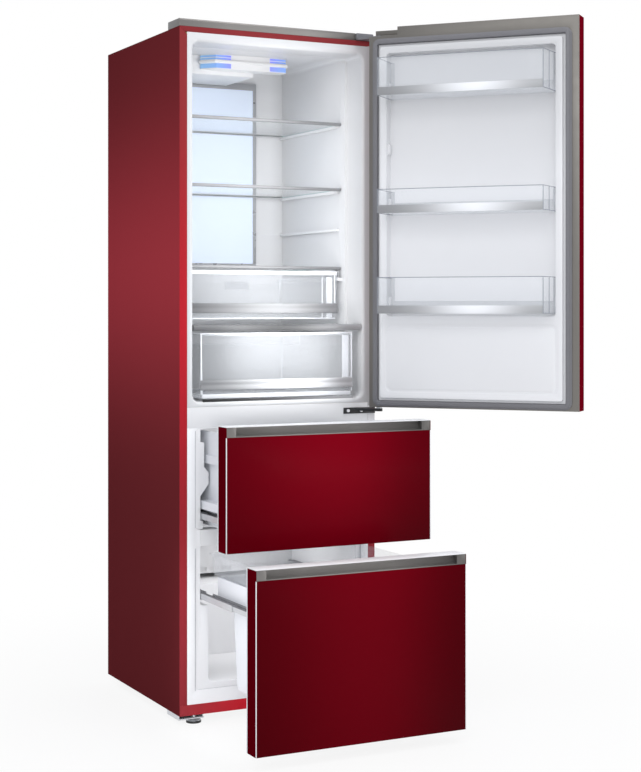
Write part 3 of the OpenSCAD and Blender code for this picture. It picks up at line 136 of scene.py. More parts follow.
# %% World
world = bpy.data.worlds.new("studio")
scene.world = world
world.use_nodes = True
tree = world.node_tree
tree.nodes.clear()
room = add_node(tree, "Background", Color=(0.92, 0.95, 1.0, 1), Strength=0.80)
backdrop = add_node(tree, "Background", Color=(1, 1, 1, 1))
seen = seen_by(tree, "Is Camera Ray", "Is Transmission Ray")
world_out = add_node(tree, "OutputWorld")
tree.links.new(mix_shaders(tree, seen, room.outputs[0], backdrop.outputs[0]), world_out.inputs[0])
print("world:", world.name)

# %% Floor
bm = bmesh.new()
bmesh.ops.create_grid(bm, x_segments=1, y_segments=1, size=30)
floor_mesh = bpy.data.meshes.new("floor")
bm.to_mesh(floor_mesh)
bm.free()
floor = bpy.data.objects.new("floor", floor_mesh)
scene.collection.objects.link(floor)
floor_finish = bpy.data.materials.new("floor")
floor_finish.use_nodes = True
floor_mesh.materials.append(floor_finish)
print("floor:", round(floor.dimensions.x), "m wide")

# %% Floor finish
SHADOW_REACH = (0.5, 1.8)  # metres from the fridge's middle over which its shadow fades
SHADOW_DEPTH = 0.86  # how white the floor is beside the fridge
tree = floor_finish.node_tree
tree.nodes.clear()
matt = add_node(tree, "BsdfDiffuse", Color=(0.86, 0.86, 0.86, 1))
glow = add_node(tree, "Emission", Color=(1, 1, 1, 1))
reach = add_node(tree, "VectorMath")
reach.operation = "LENGTH"
tree.links.new(add_node(tree, "TexCoord").outputs["Object"], reach.inputs[0])
fade = map_range(tree, reach.outputs["Value"], *SHADOW_REACH, SHADOW_DEPTH, 1.0)
seen = seen_by(tree, "Is Camera Ray", "Is Transmission Ray", "Is Glossy Ray")
white_part = calculate(tree, "MULTIPLY", seen, fade)
floor_out = add_node(tree, "OutputMaterial")
tree.links.new(mix_shaders(tree, white_part, matt.outputs[0], glow.outputs[0]), floor_out.inputs[0])
print("floor finish:", len(tree.nodes), "nodes")

# %% [markdown]
# ## Lamps
# Glossy doors are photographed with large soft boxes, because the paint mirrors them. A broad
# one at the left front lights the fronts, a second one fills from the right, and one high above
# lights the edges. The liners also get light from the white room around them. Tracing that
# would need many bounces, so five thin sheets of light stand for it: two in the fridge's mouth,
# one beside the gap that the lower drawer opens, and one under each of the freezer's ceilings.
# They aren't mirrored in anything, because they would show there as bright patches.

# %% Soft boxes
def soft_box(name, place, aim, width, height, power, mirrored_in_gloss):
    """An area lamp that looks from a place to a point, in metres and watts."""
    lamp = bpy.data.lights.new(name, "AREA")
    lamp.shape = "RECTANGLE"
    lamp.size, lamp.size_y, lamp.energy = width, height, power
    holder = bpy.data.objects.new(name, lamp)
    scene.collection.objects.link(holder)
    holder.location = place
    holder.rotation_euler = (Vector(aim) - Vector(place)).to_track_quat("-Z", "Y").to_euler()
    holder.visible_camera = False
    holder.visible_glossy = mirrored_in_gloss


STUDIO_LAMPS = (
    ("key", (-2.6, -4.2, 3.0), (0, 0, 1.1), 2.4, 2.4, 65),
    ("fill", (3.4, -3.6, 1.6), (0.1, 0, 0.9), 2.0, 3.0, 30),
    ("top", (0.2, -1.2, 4.6), (0, -0.2, 0.6), 2.6, 2.0, 40),
)
ROOM_LAMPS = (
    ("fridge_mouth", (0, -0.08, 1.34), (0, 1, 1.34), 0.30, 0.86, 2.25),
    ("boxes_mouth", (0, -0.08, 1.06), (0, 1, 1.06), 0.34, 0.20, 0.22),
    ("lower_gap", (-0.36, -0.24, 0.27), (0, -0.20, 0.27), 0.34, 0.42, 0.36),
    ("upper_inside", (0, 0.20, 0.788), (0, 0.20, 0), 0.34, 0.24, 0.5),
    ("lower_inside", (0, 0.14, 0.475), (0, 0.14, 0), 0.34, 0.24, 0.45),
)
for lamps, mirrored_in_gloss in ((STUDIO_LAMPS, True), (ROOM_LAMPS, False)):
    for lamp in lamps:
        soft_box(*lamp, mirrored_in_gloss)
        print("lamp:", lamp[0], lamp[-1], "W")

# %% [markdown]
# ## How a finish is made
# Every finish is a Principled shader. A flat colour looks like plastic foil, so each one gets
# a little noise in its colour and its roughness, and a fine relief. The noise could be read
# from the world, but then it would slide over a drawer that moves. Object coordinates keep the
# pattern on the piece.

# %% Helpers that start a finish
def new_finish(name, **settings):
    """A material with a Principled shader; the settings go straight on its sockets."""
    finish = bpy.data.materials.new(name)
    finish.use_nodes = True
    shader = finish.node_tree.nodes["Principled BSDF"]
    for socket, value in settings.items():
        shader.inputs[socket.replace("_", " ")].default_value = value
    return finish, finish.node_tree, shader


def noise(tree, scale, detail, stretch=(1, 1, 1)):
    """Noise on Object coordinates; a stretch under 1 draws it out along that axis."""
    mapping = add_node(tree, "Mapping", Scale=stretch)
    texture = add_node(tree, "TexNoise", Scale=scale, Detail=detail)
    tree.links.new(add_node(tree, "TexCoord").outputs["Object"], mapping.inputs["Vector"])
    tree.links.new(mapping.outputs[0], texture.inputs["Vector"])
    return texture.outputs["Fac"]


print("helpers: new_finish, noise")


# %% Helpers that mix colours
def set_socket(tree, socket, value):
    """Puts a number, a tone or another node's output on a socket."""
    if isinstance(value, bpy.types.NodeSocket):
        tree.links.new(value, socket)
    else:
        socket.default_value = (*value, 1) if isinstance(value, tuple) else value


def mix_colours(tree, first, second, factor=1.0, mode="MULTIPLY"):
    """Mixes two colours; each is a tone or a socket."""
    mix = add_node(tree, "Mix")
    mix.data_type = "RGBA"
    mix.blend_type = mode
    factor_socket, first_socket, second_socket = mix.inputs[0], mix.inputs[6], mix.inputs[7]
    set_socket(tree, factor_socket, factor)
    set_socket(tree, first_socket, first)
    set_socket(tree, second_socket, second)
    return mix.outputs[2]


print("helpers: set_socket, mix_colours")


# %% Helpers for colour, roughness and relief
def vary_colour(tree, shader, pattern, first, second):
    """Base colour between two close tones."""
    mixed = mix_colours(tree, first, second, pattern, "MIX")
    tree.links.new(mixed, shader.inputs["Base Color"])


def vary_roughness(tree, shader, pattern, low, high):
    """Roughness between two values; noise seldom leaves the range from 0.3 to 0.7."""
    tree.links.new(map_range(tree, pattern, 0.3, 0.7, low, high), shader.inputs["Roughness"])


def relief(tree, shader, height, depth, strength):
    """Bump of a depth in metres."""
    bump = add_node(tree, "Bump", Strength=strength, Distance=depth)
    tree.links.new(height, bump.inputs["Height"])
    tree.links.new(bump.outputs[0], shader.inputs["Normal"])


print("helpers: vary_colour, vary_roughness, relief")

# %% [markdown]
# ## Colours that follow the fridge
# A large sheet of paint or foil is never one even colour, because it mirrors bright and dark
# parts of the studio. Those soft gradients could come from more lamps, but each lamp would
# change every other surface too. A ramp along one axis gives each sheet its own gradient, and
# it is fixed to the piece.

# %% A gradient along an axis
def graded(tree, axis, low, high, stops):
    """A colour that follows an axis from low to high metres through evenly spaced stops."""
    split = add_node(tree, "SeparateXYZ")
    tree.links.new(add_node(tree, "TexCoord").outputs["Object"], split.inputs[0])
    ramp = add_node(tree, "ValToRGB")
    ramp.color_ramp.interpolation = "B_SPLINE"
    points = ramp.color_ramp.elements
    for i, stop in enumerate(stops):
        place = i / (len(stops) - 1)
        point = points[i] if i in (0, 1) else points.new(place)
        point.position = place
        point.color = (*stop, 1)
    tree.links.new(map_range(tree, split.outputs["XYZ".index(axis)], low, high), ramp.inputs[0])
    return ramp.outputs[0]


print("helper: graded")


# %% Grey gradients
def grey(*levels):
    """Stops of plain grey."""
    return [(v, v, v) for v in levels]


def shade_along(axis, low, high, *levels):
    """Makes a function that adds a grey gradient of painted light and shade to a finish."""
    def shade(tree):
        return graded(tree, axis, low, high, grey(*levels))
    return shade


def apply_shade(tree, shader, shade):
    """Multiplies a gradient into the base colour; levels over 1 make it lighter."""
    plain = shader.inputs["Base Color"].links[0].from_socket
    tree.links.new(mix_colours(tree, plain, shade(tree)), shader.inputs["Base Color"])


print("helpers: grey, shade_along, apply_shade; two greys:", grey(0.2, 0.8))

# %% [markdown]
# ## Paint, plastic and metal
# Sprayed enamel dries with a shallow, even orange peel. Moulded plastic carries the fine grain
# of its mould. Brushed metal has strokes in one direction, so its noise is drawn out along
# that axis. Three makers, one for each, keep the finishes of one kind alike.

# %% Paint
def paint(name, colour, low, high, gloss):
    """Sprayed enamel: a tone, or a maker of one, under orange peel."""
    finish, tree, shader = new_finish(name, Specular_IOR_Level=gloss)
    tone = colour(tree) if callable(colour) else colour
    speckle = map_range(tree, noise(tree, 90, 3), 0, 1, 0.98, 1.02)
    tree.links.new(mix_colours(tree, tone, speckle), shader.inputs["Base Color"])
    vary_roughness(tree, shader, noise(tree, 30, 4), low, high)
    relief(tree, shader, noise(tree, 420, 2), 0.00003, 0.3)
    return finish


print("helper: paint")


# %% Moulded plastic
def moulded(name, first, second, low, high, grain=900, depth=0.00004, **more):
    """Moulded plastic between two tones, with a fine grain."""
    finish, tree, shader = new_finish(name, IOR=1.46, **more)
    vary_colour(tree, shader, noise(tree, 6, 3), first, second)
    vary_roughness(tree, shader, noise(tree, 40, 4), low, high)
    relief(tree, shader, noise(tree, grain, 3), depth, 0.25)
    return finish


print("helper: moulded")


# %% Brushed metal
def brushed(name, first, second, low, high, along, metallic=1.0, shade=None):
    """Brushed metal or foil between two tones; along names the axis of the brushing."""
    stretch = [1.0, 1.0, 1.0]
    stretch["XYZ".index(along)] = 0.02
    finish, tree, shader = new_finish(name, Metallic=metallic)
    strokes = noise(tree, 260, 4, stretch)
    vary_colour(tree, shader, strokes, first, second)
    if shade:
        apply_shade(tree, shader, shade)
    vary_roughness(tree, shader, noise(tree, 25, 3), low, high)
    relief(tree, shader, strokes, 0.00003, 0.2)
    return finish


print("helper: brushed")

# %% [markdown]
# ## From solids to moulded pieces
# A solid from the CAD tool has knife-sharp edges, which never catch the light. A Bevel modifier
# would also cut across the seams between its triangles. Instead a copy has its triangles merged
# into whole faces first, then gets a small bevel on every sharp edge, as a mould or a press
# would leave. The copy stands for the solid from then on.

# %% Turn a mesh into a piece
CREASE = math.radians(28)  # edges that turn less than this are shaded smooth
BODY_OF = {n: b for b, members in frame["record"]["behaviour"]["bodies"].items() for n in members}


def finish_piece(name, bm, body, finish, stands_for=()):
    """Turns a bmesh into a piece that rides on a body, smooth but for its sharp edges."""
    bmesh.ops.recalc_face_normals(bm, faces=bm.faces)
    for face in bm.faces:
        face.smooth = True
    for edge in bm.edges:
        if len(edge.link_faces) == 2:
            edge.smooth = edge.calc_face_angle(0) < CREASE
    mesh = bpy.data.meshes.new(name)
    bm.to_mesh(mesh)
    bm.free()
    piece = bpy.data.objects.new(name, mesh)
    scene.collection.objects.link(piece)
    mesh.materials.append(finish)
    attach(piece, body)
    if stands_for:
        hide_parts(*stands_for)
    print(name, len(mesh.polygons), "faces")
    return piece


# %% Copy and soften a solid
SHARP = math.radians(32)  # edges that turn more than this are bevelled
FLAT = math.radians(0.6)  # triangles that turn less than this are one face
SAME_PLACE = 2e-6  # corners closer than this are one


def copy_of(node):
    """A merged copy of a solid, with whole flat faces."""
    bm = bmesh.new()
    bm.from_mesh(nodes[node].data)
    bmesh.ops.remove_doubles(bm, verts=bm.verts, dist=SAME_PLACE)
    bmesh.ops.dissolve_limit(bm, angle_limit=FLAT, verts=bm.verts, edges=bm.edges,
                             use_dissolve_boundaries=False)
    return bm


def soften(bm, width, segments):
    """Bevels the sharp edges."""
    edges = [e for e in bm.edges if len(e.link_faces) == 2 and e.calc_face_angle(0) > SHARP]
    bmesh.ops.bevel(bm, geom=edges, offset=width, offset_type="OFFSET", affect="EDGES",
                    segments=segments, profile=0.5, material=-1, clamp_overlap=True)


def moulded_copy(node, finish, width, segments=2):
    """A softened copy that stands for its solid."""
    bm = copy_of(node)
    soften(bm, width, segments)
    return finish_piece(node + "_moulded", bm, BODY_OF[node], finish, [node])


print("softened copies bevel edges over", round(math.degrees(SHARP)), "degrees")


# %% Paint some faces, or a whole solid
def repaint(piece, finish, test):
    """Gives another finish to the faces that a test picks from their normal and centre."""
    piece.data.materials.append(finish)
    last = len(piece.data.materials) - 1
    for face in piece.data.polygons:
        if test(face.normal, face.center):
            face.material_index = last


def dress(node, finish):
    """Puts a finish on a solid that stays as it is."""
    data = nodes[node].data
    data.materials.clear()
    data.materials.append(finish)
    print(node, "dressed with", finish.name)


print("helpers: repaint, dress")

# %% [markdown]
# ## Small parts
# Screws, pipes, beads and strips are too small for the CAD model, but the eye looks for them.
# They are built from boxes and rods with bmesh. Their places are written in millimetres from
# the cabinet's front plane, its middle and the floor, as one would measure a real fridge.

# %% Places and rods
FRONT_PLANE = 22  # the frame's origin lies this far behind the cabinet's front plane


def at(x, y, z):
    """Cabinet millimetres to metres in the frame."""
    return Vector((x / 1000, (y - FRONT_PLANE) / 1000, z / 1000))


def add_rod(bm, start, end, radius, segments=16, top=None):
    """A rod between two points; top is the far end's radius."""
    a, b = at(*start), at(*end)
    turn = (b - a).to_track_quat("Z", "Y").to_matrix().to_4x4()
    bmesh.ops.create_cone(bm, cap_ends=True, segments=segments, radius1=radius / 1000,
                          radius2=(radius if top is None else top) / 1000, depth=(b - a).length,
                          matrix=Matrix.Translation((a + b) / 2) @ turn)


print("front plane at", round(at(0, 0, 0).y, 3), "m")

# %% [markdown]
# ## The cabinet's sheets
# The cabinet is pressed steel, sprayed red. The sides are a darker, flatter red with one broad
# soft highlight. The folded front edges face the studio's light and look brighter, and the
# bottom rail is brightest in the middle. These are three gradients on the same paint, because
# one colour could only be right for one of them.

# %% Reds that follow the cabinet's height or width
def side_tone(tree):
    """Dark red with a wide soft band where the side catches the light."""
    dim, lit = (0.114, 0.0160, 0.0190), (0.322, 0.0345, 0.0450)
    steps = (0, 0, 0, 0, 0.08, 0.37, 0.76, 1.0, 0.78, 0.42, 0.10, 0)
    stops = [tuple(d + (l - d) * k for d, l in zip(dim, lit)) for k in steps]
    return graded(tree, "Z", 0.05, 1.90, stops)


def stile_tone(tree):
    """Bright red in the middle, duller towards the floor and the top."""
    return graded(tree, "Z", 0.03, 1.88, [
        (0.310, 0.032, 0.041), (0.335, 0.035, 0.044), (0.410, 0.024, 0.033),
        (0.455, 0.015, 0.025), (0.415, 0.017, 0.026), (0.260, 0.028, 0.031),
        (0.235, 0.034, 0.038)])


def rail_tone(tree):
    """The bottom rail, brighter towards the middle."""
    return graded(tree, "X", -0.30, 0.30, [
        (0.290, 0.042, 0.050), (0.560, 0.024, 0.036), (0.820, 0.012, 0.028),
        (0.840, 0.012, 0.028), (0.640, 0.014, 0.028)])


side_red = paint("side_enamel", side_tone, 0.36, 0.46, 0.0)
stile_red = paint("stile_enamel", stile_tone, 0.28, 0.36, 0.02)
rail_red = paint("bottom_rail_enamel", rail_tone, 0.28, 0.36, 0.02)
zinc = brushed("zinc", (0.50, 0.51, 0.53), (0.62, 0.62, 0.63), 0.34, 0.48, "Z")
print("reds:", side_red.name, stile_red.name, rail_red.name)

# %% Cabinet sheets
STILE_BACK = -0.018  # the sheets' folded front edges lie in front of this
RAIL_BACK = -0.019  # and the base plate's front rail in front of this
for name in ("side_panel_left", "side_panel_right", "top_panel"):
    sheet = moulded_copy(name, side_red, 0.0005)
    repaint(sheet, stile_red, lambda normal, centre: normal.y < -0.5 and centre.y < STILE_BACK)
base = moulded_copy("base_plate", zinc, 0.0003, 1)
repaint(base, rail_red, lambda normal, centre: centre.y < RAIL_BACK)
dress("back_panel", zinc)

# %% [markdown]
# ## Foam and cap
# Foam is injected between the sheets and the liners, where it sets yellow and porous. Nothing
# shows it, but it would be there in a cut, so it only gets a finish. The cap on the top is
# metallised plastic, and its grey carries a painted reflection that changes over the width as
# the room's light does.

# %% Foam and top cap
foam = moulded("foam", (0.80, 0.66, 0.30), (0.72, 0.57, 0.24), 0.8, 0.95, 120, 0.0006)
# grip_shade paints a reflection on the top cap and the grips: darker at both ends of the width,
# lighter in the middle.
grip_shade = shade_along("X", -0.29, 0.29, 0.70, 0.86, 1.12, 1.16, 1.10, 0.92, 0.62, 0.40)
warm_grey = brushed("warm_grey", (0.265, 0.250, 0.236), (0.285, 0.268, 0.252), 0.34, 0.42,
                    "X", 0.6, grip_shade)
dress("insulation_foam", foam)
dress("door_foam", foam)
moulded_copy("top_cap", warm_grey, 0.0012, 3)

# %% [markdown]
# ## Screws of the back
# The zinc-plated back sheet is screwed to the sides and to the top. Each pan head stands two
# millimetres proud, and a cross of two thin rods shows its slot. A bump would look as good from
# the front, but the back can be seen from any side.

# %% A screw
def add_screw(bm, place, direction, radius, height):
    """A pan head with a cross slot, seated at a place and facing a direction."""
    d = Vector(direction).normalized()
    tip = [c + height * e for c, e in zip(place, d)]
    add_rod(bm, place, tip, radius, 20, radius * 0.72)
    side = d.orthogonal().normalized()
    for along in (side, d.cross(side)):
        a = [c - radius * 0.5 * f for c, f in zip(tip, along)]
        b = [c + radius * 0.5 * f for c, f in zip(tip, along)]
        add_rod(bm, a, b, radius * 0.12, 6)


print("helper: add_screw")

# %% Screws that hold the back panel
BACK_PLANE = 575  # the outer face of the back sheet
bm = bmesh.new()
for z in range(340, 1841, 300):
    for x in (-286, 286):
        add_screw(bm, (x, BACK_PLANE, z), (0, 1, 0), 5, 2.0)
for x in (-143, 0, 143):
    add_screw(bm, (x, BACK_PLANE, 1862), (0, 1, 0), 5, 2.0)
finish_piece("back_screws", bm, "cabinet", zinc)

# %% [markdown]
# ## White edges beside the right stile
# On the right the white cover of the beam reaches over the painted edge, and a narrow white
# bead closes the joint between the liner and the steel. Both are thin strips, a third of a
# millimetre proud of the front plane. Painting the steel white there would leave no edge.

# %% White sheets
SHEET_ROUGHNESS = (0.30, 0.36)


def sheet_white(name, first, second):
    """Glossy white plastic with hardly any grain."""
    return moulded(name, first, second, *SHEET_ROUGHNESS, 300, 0.00001)


def shaded_white(name, tone, *shades):
    """Glossy white sheet, painted a little deeper or lighter along some axes for shade and light.
    """
    finish = sheet_white(name, tone, tuple(c * 0.987 for c in tone))
    tree = finish.node_tree
    for shade in shades:
        apply_shade(tree, tree.nodes["Principled BSDF"], shade)
    return finish


panel_white = sheet_white("panel_white", (0.780, 0.780, 0.790), (0.790, 0.790, 0.800))
# The liner's white is painted lighter towards the back and darker on the right: painted light and
# shade.
liner_white = shaded_white("liner_white", (0.790, 0.792, 0.805),
    shade_along("Y", -0.03, 0.49, 0.85, 0.94, 1.04, 1.14, 1.20),
    shade_along("X", 0.0, 0.30, 1.0, 1.0, 1.0, 1.0, 1.02, 1.02, 0.78, 0.42))
print("whites:", panel_white.name, liner_white.name)

# %% Parts made of boxes
def add_box(bm, low, high):
    """A box between two corners."""
    a, b = at(*low), at(*high)
    made = bmesh.ops.create_cube(bm, size=1.0)["verts"]
    bmesh.ops.scale(bm, vec=b - a, verts=made)
    bmesh.ops.translate(bm, vec=(a + b) / 2, verts=made)


def box_part(name, body, finish, boxes, round_edges, segments=2):
    """A part made of softened boxes."""
    bm = bmesh.new()
    for low, high in boxes:
        add_box(bm, low, high)
    soften(bm, round_edges, segments)
    return finish_piece(name, bm, body, finish)


print("helpers: add_box, box_part")

# %% Beam end and bead
box_part("beam_end", "cabinet", panel_white,
         [((275.6, -0.3, 799), (297.5, 0.5, 842))], 0.0002, 1)
box_part("mouth_bead", "cabinet", liner_white,
         [((274.5, -0.3, 842), (281, 0.5, 1862))], 0.0002, 1)

# %% [markdown]
# ## Hinges
# The top hinge is a cast arm in grey, with a cover that hides its screws and wires. The cover
# is one strip along the top and one block at the front with two dark slots. The centre hinge is
# a black plate with two bright screws, which hold it to the beam.

# %% Hinge finishes
upright_grey = brushed("upright_grey", (0.195, 0.194, 0.208), (0.210, 0.208, 0.222), 0.34, 0.42,
                       "Z", 0.6)
chrome = brushed("chrome", (0.70, 0.71, 0.73), (0.78, 0.79, 0.80), 0.08, 0.14, "Z")
black_plastic = moulded("black_plastic", (0.014, 0.014, 0.015), (0.022, 0.022, 0.023), 0.42, 0.56)
black_paint = paint("black_enamel", (0.012, 0.012, 0.013), 0.28, 0.38, 0.5)
print("hinge finishes:", upright_grey.name, chrome.name, black_plastic.name, black_paint.name)

# %% Hinges and their screws
ARM_TOP = 1883.3  # the upper face of the top hinge's arm
moulded_copy("top_hinge", upright_grey, 0.0008)
box_part("top_hinge_cover", "cabinet", upright_grey,
         [((240, 30, ARM_TOP), (295, 560, 1889)), ((236, -8, 1877), (290, 60, 1896))], 0.0025, 3)
box_part("hinge_slots", "cabinet", black_plastic,
         [((252, -8.5, 1879), (264, -7.5, 1884)), ((270, -8.5, 1880), (283, -7.5, 1885))],
         0.0003, 1)
moulded_copy("centre_hinge", black_paint, 0.0008)
dress("hinge_pins", zinc)
bm = bmesh.new()
for x in (211.5, 253.5):
    add_screw(bm, (x, -3, 829.5), (0, -1, 0), 5.2, 2.4)
for x in (253.5, 281.5):
    add_screw(bm, (x, 14, ARM_TOP), (0, 0, 1), 5.2, 2.4)
finish_piece("hinge_screws", bm, "cabinet", chrome)

# %% [markdown]
# ## Feet and rollers
# The front stands on two levelling feet. Each is a plated disc and stud with a dark pad under
# it, in a bent sheet bracket. The rear rolls on two black rollers. The pad is only the foot's
# lowest faces, so a second finish on them is enough.

# %% Feet and rollers
PAD_TOP = 0.0045  # the foot's faces below this are its pad
bracket_zinc = brushed("bracket_zinc", (0.66, 0.67, 0.69), (0.72, 0.73, 0.75), 0.34, 0.48,
                       "Z", 0.25)
moulded_copy("foot_brackets", bracket_zinc, 0.0004, 1)
for name in ("foot_left", "foot_right"):
    foot = moulded_copy(name, chrome, 0.0008)
    repaint(foot, black_plastic, lambda normal, centre: centre.z < PAD_TOP)
for name in ("roller_left", "roller_right"):
    moulded_copy(name, black_plastic, 0.0012)

# %% [markdown]
# ## The cooling parts
# The compressor is a black enamelled shell with a plastic tray for defrost water above it. The
# condenser lies behind the back sheet, and the evaporator and its fan behind a cover in the
# freezer. They are machine parts with clean edges, so most of them keep their solids and only
# get a finish.

# %% Cooling parts
fan_white = moulded("fan_white", (0.70, 0.72, 0.75), (0.74, 0.76, 0.79), 0.30, 0.40)
fin_metal = brushed("fin_metal", (0.62, 0.63, 0.66), (0.74, 0.75, 0.77), 0.28, 0.40, "Z")
moulded_copy("compressor", black_paint, 0.0008)
moulded_copy("drip_tray", black_plastic, 0.0008)
dress("cord_gland", black_plastic)
dress("condenser", black_paint)
dress("evaporator", fin_metal)
dress("fan_motor", black_plastic)
dress("evaporator_fan", fan_white)

# %% [markdown]
# ## Pipes
# Copper pipes leave the compressor and climb the back of its bay. One passes through the drier,
# a thick cartridge with tapered ends. A curve with a bevel would make rounder bends, but rods
# with balls at the corners are plain meshes from the start.

# %% A pipe
def add_pipe(bm, points, radius, segments=10):
    """A round pipe through points, with small balls at its bends."""
    for a, b in zip(points, points[1:]):
        add_rod(bm, a, b, radius, segments)
    for p in points[1:-1]:
        made = bmesh.ops.create_uvsphere(bm, u_segments=segments, v_segments=6,
                                         radius=radius / 1000)["verts"]
        bmesh.ops.translate(bm, vec=at(*p), verts=made)


print("helper: add_pipe")

# %% Refrigerant pipes of the compressor bay
DRIER = [(230, 548, z) for z in (160, 172, 226, 238)]
copper = brushed("copper_pipe", (0.62, 0.30, 0.18), (0.70, 0.36, 0.22), 0.24, 0.34, "Z")
bm = bmesh.new()
add_pipe(bm, [(135, 526, 119.2), (165, 543, 119.2), (215, 548, 119.2), (230, 548, 134),
              (230, 548, 272)], 3)
add_pipe(bm, [(85.4, 557, 119.2), (84, 561, 132), (62, 561, 150), (60, 561, 272)], 4)
add_rod(bm, DRIER[0], DRIER[1], 3, 16, 10)
add_rod(bm, DRIER[1], DRIER[2], 10, 16)
add_rod(bm, DRIER[2], DRIER[3], 10, 16, 3)
finish_piece("refrigerant_pipes", bm, "cabinet", copper)

# %% [markdown]
# ## Liners
# Each compartment is one sheet of glossy white plastic, drawn into a mould while it is hot, so
# its corners are soft. The wide bevels show that. The sheet's white carries painted light and
# shade: it is a little brighter at the back, where the light panel shines, and darker on the
# right. The ceiling, which is in shade, is painted a darker white.

# %% Finishes of the liners and the beam
# ceiling_white is the liner's white painted darker: painted shade on the ceiling.
ceiling_white = sheet_white("ceiling_white", (0.600, 0.600, 0.615), (0.610, 0.610, 0.625))
# The freezer's white is painted lighter at the mouth, darkest a little inside it, then even:
# painted light and shade.
freezer_white = shaded_white("freezer_white", (0.930, 0.930, 0.942),
    shade_along("Y", -0.03, 0.33, 1.10, 0.86, 0.78, 0.84, 0.95, 1.0, 1.0))
# The beam's white is painted darker towards the middle: painted shade.
beam_white = shaded_white("beam_white", (0.790, 0.790, 0.800),
    shade_along("X", -0.27, 0.27, 1.02, 0.94, 0.86, 0.84, 0.90, 1.0))
seam_grey = moulded("seam_grey", (0.36, 0.36, 0.39), (0.40, 0.40, 0.43), 0.45, 0.55)
print("liner finishes:", ceiling_white.name, freezer_white.name, beam_white.name, seam_grey.name)


# %% Liners and beams
def is_ceiling(normal, centre):
    """The fridge's ceiling, behind the lip of its mouth."""
    return normal.z < -0.6 and centre.z > 1.78 and centre.y > -0.015


def is_seam(normal, centre):
    """The small step that runs round the freezer's mouth."""
    return -0.0219 < centre.y < -0.0191 and abs(normal.y) < 0.9


fridge_liner = moulded_copy("fridge_liner", liner_white, 0.0012)
repaint(fridge_liner, ceiling_white, is_ceiling)
freezer_liner = moulded_copy("freezer_liner", freezer_white, 0.0008)
repaint(freezer_liner, seam_grey, is_seam)
moulded_copy("beam_covers", beam_white, 0.0006)
moulded_copy("freezer_side_trims", panel_white, 0.0008)

# %% [markdown]
# ## Seams and the air outlet
# Where two mouldings meet there is a grey line. Beside the freezer's mouth it is a hair-thin
# groove along each drawer's height. The fridge's back wall has a small air outlet with a slot.
# Cutting them into the liner would split its large faces, and thin raised boxes look the same.

# %% Seams and outlet
def mirrored(boxes):
    """The same boxes on both sides of the fridge."""
    return boxes + [((-h[0], l[1], l[2]), (-l[0], h[1], h[2])) for l, h in boxes]


box_part("recess_seam", "cabinet", seam_grey,
         mirrored([((-252.7, -0.25, 527), (-251.5, 0.1, 788)),
                   ((-252.7, -0.25, 88), (-251.5, 0.1, 472))]), 0.0001, 1)
box_part("back_vent", "cabinet", seam_grey,
         [((66, 508.6, 1184), (123, 509.6, 1190)), ((56, 509.5, 1176), (133, 512, 1199))], 0.0006)

# %% [markdown]
# ## Light panel and air duct
# The panel on the back wall is milky plastic, lit from behind, and glows pale blue. The lamps
# in the duct's corners are a deeper blue. Real lamps behind a translucent sheet would render
# slowly and with noise, so the covers emit a little light of their own colour.

# %% Lit covers
def lamp_cover(name, tone, deeper, strength):
    """A milky cover, lit from behind."""
    finish, tree, shader = new_finish(name, Roughness=0.3, Emission_Color=(*tone, 1),
                                      Emission_Strength=strength)
    vary_colour(tree, shader, noise(tree, 9, 2), tone, deeper)
    relief(tree, shader, noise(tree, 300, 2), 0.00004, 0.3)
    return finish


panel_glow = lamp_cover("panel_glow", (0.72, 0.80, 0.93), (0.70, 0.78, 0.91), 0.18)
strip_glow = lamp_cover("strip_glow", (0.16, 0.26, 0.80), (0.15, 0.24, 0.78), 0.5)
tree = strip_glow.node_tree
strip_colour = graded(tree, "X", -0.12, 0.145, [
    (0.19, 0.36, 0.58), (0.18, 0.34, 0.62), (0.20, 0.22, 0.84), (0.22, 0.19, 0.92),
    (0.22, 0.19, 0.92), (0.22, 0.19, 0.92), (0.19, 0.28, 0.78), (0.19, 0.34, 0.64)])
for socket in ("Base Color", "Emission Color"):
    tree.links.new(strip_colour, tree.nodes["Principled BSDF"].inputs[socket])
print("lit covers:", panel_glow.name, strip_glow.name)

# %% Light panel and duct
silver = brushed("silver_trim", (0.50, 0.505, 0.52), (0.54, 0.545, 0.56), 0.26, 0.34, "X", 0.7)
moulded_copy("light_panel_frame", silver, 0.0006)
dress("light_diffuser", panel_glow)
moulded_copy("ceiling_duct", panel_white, 0.0012)
dress("duct_lamps", strip_glow)

# %% [markdown]
# ## The evaporator's cover
# The freezer's back wall is a white cover with slots, and cold air is blown through them. A
# screen behind the slots keeps fingers and crumbs from the fins. It is one thin sheet here,
# because its holes would be too fine to see from the front.

# %% Evaporator cover and its screen
moulded_copy("evaporator_cover", panel_white, 0.0006)
box_part("vent_screen", "cabinet", panel_white,
         [((-196, 418.5, 334), (196, 419.5, 350))], 0.0002, 1)

# %% [markdown]
# ## Glass shelves
# A shelf is toughened glass with a plastic trim along its front. Seen from above glass is
# nearly invisible, but its edge is green and dense. True refraction in thin plates makes noise
# and dark patches, so the faces are mostly transparent and the edges are not.

# %% Silver bands
def shaded_band(name, metallic, low, high, *levels):
    """Silver foil with a painted reflection: grey at its ends and bright where it faces the light.
    """
    return brushed(name, (0.95, 0.96, 1.0), (0.97, 0.98, 1.0), 0.36, 0.38, "X", metallic,
                   shade_along("X", low, high, *levels))


print("helper: shaded_band")

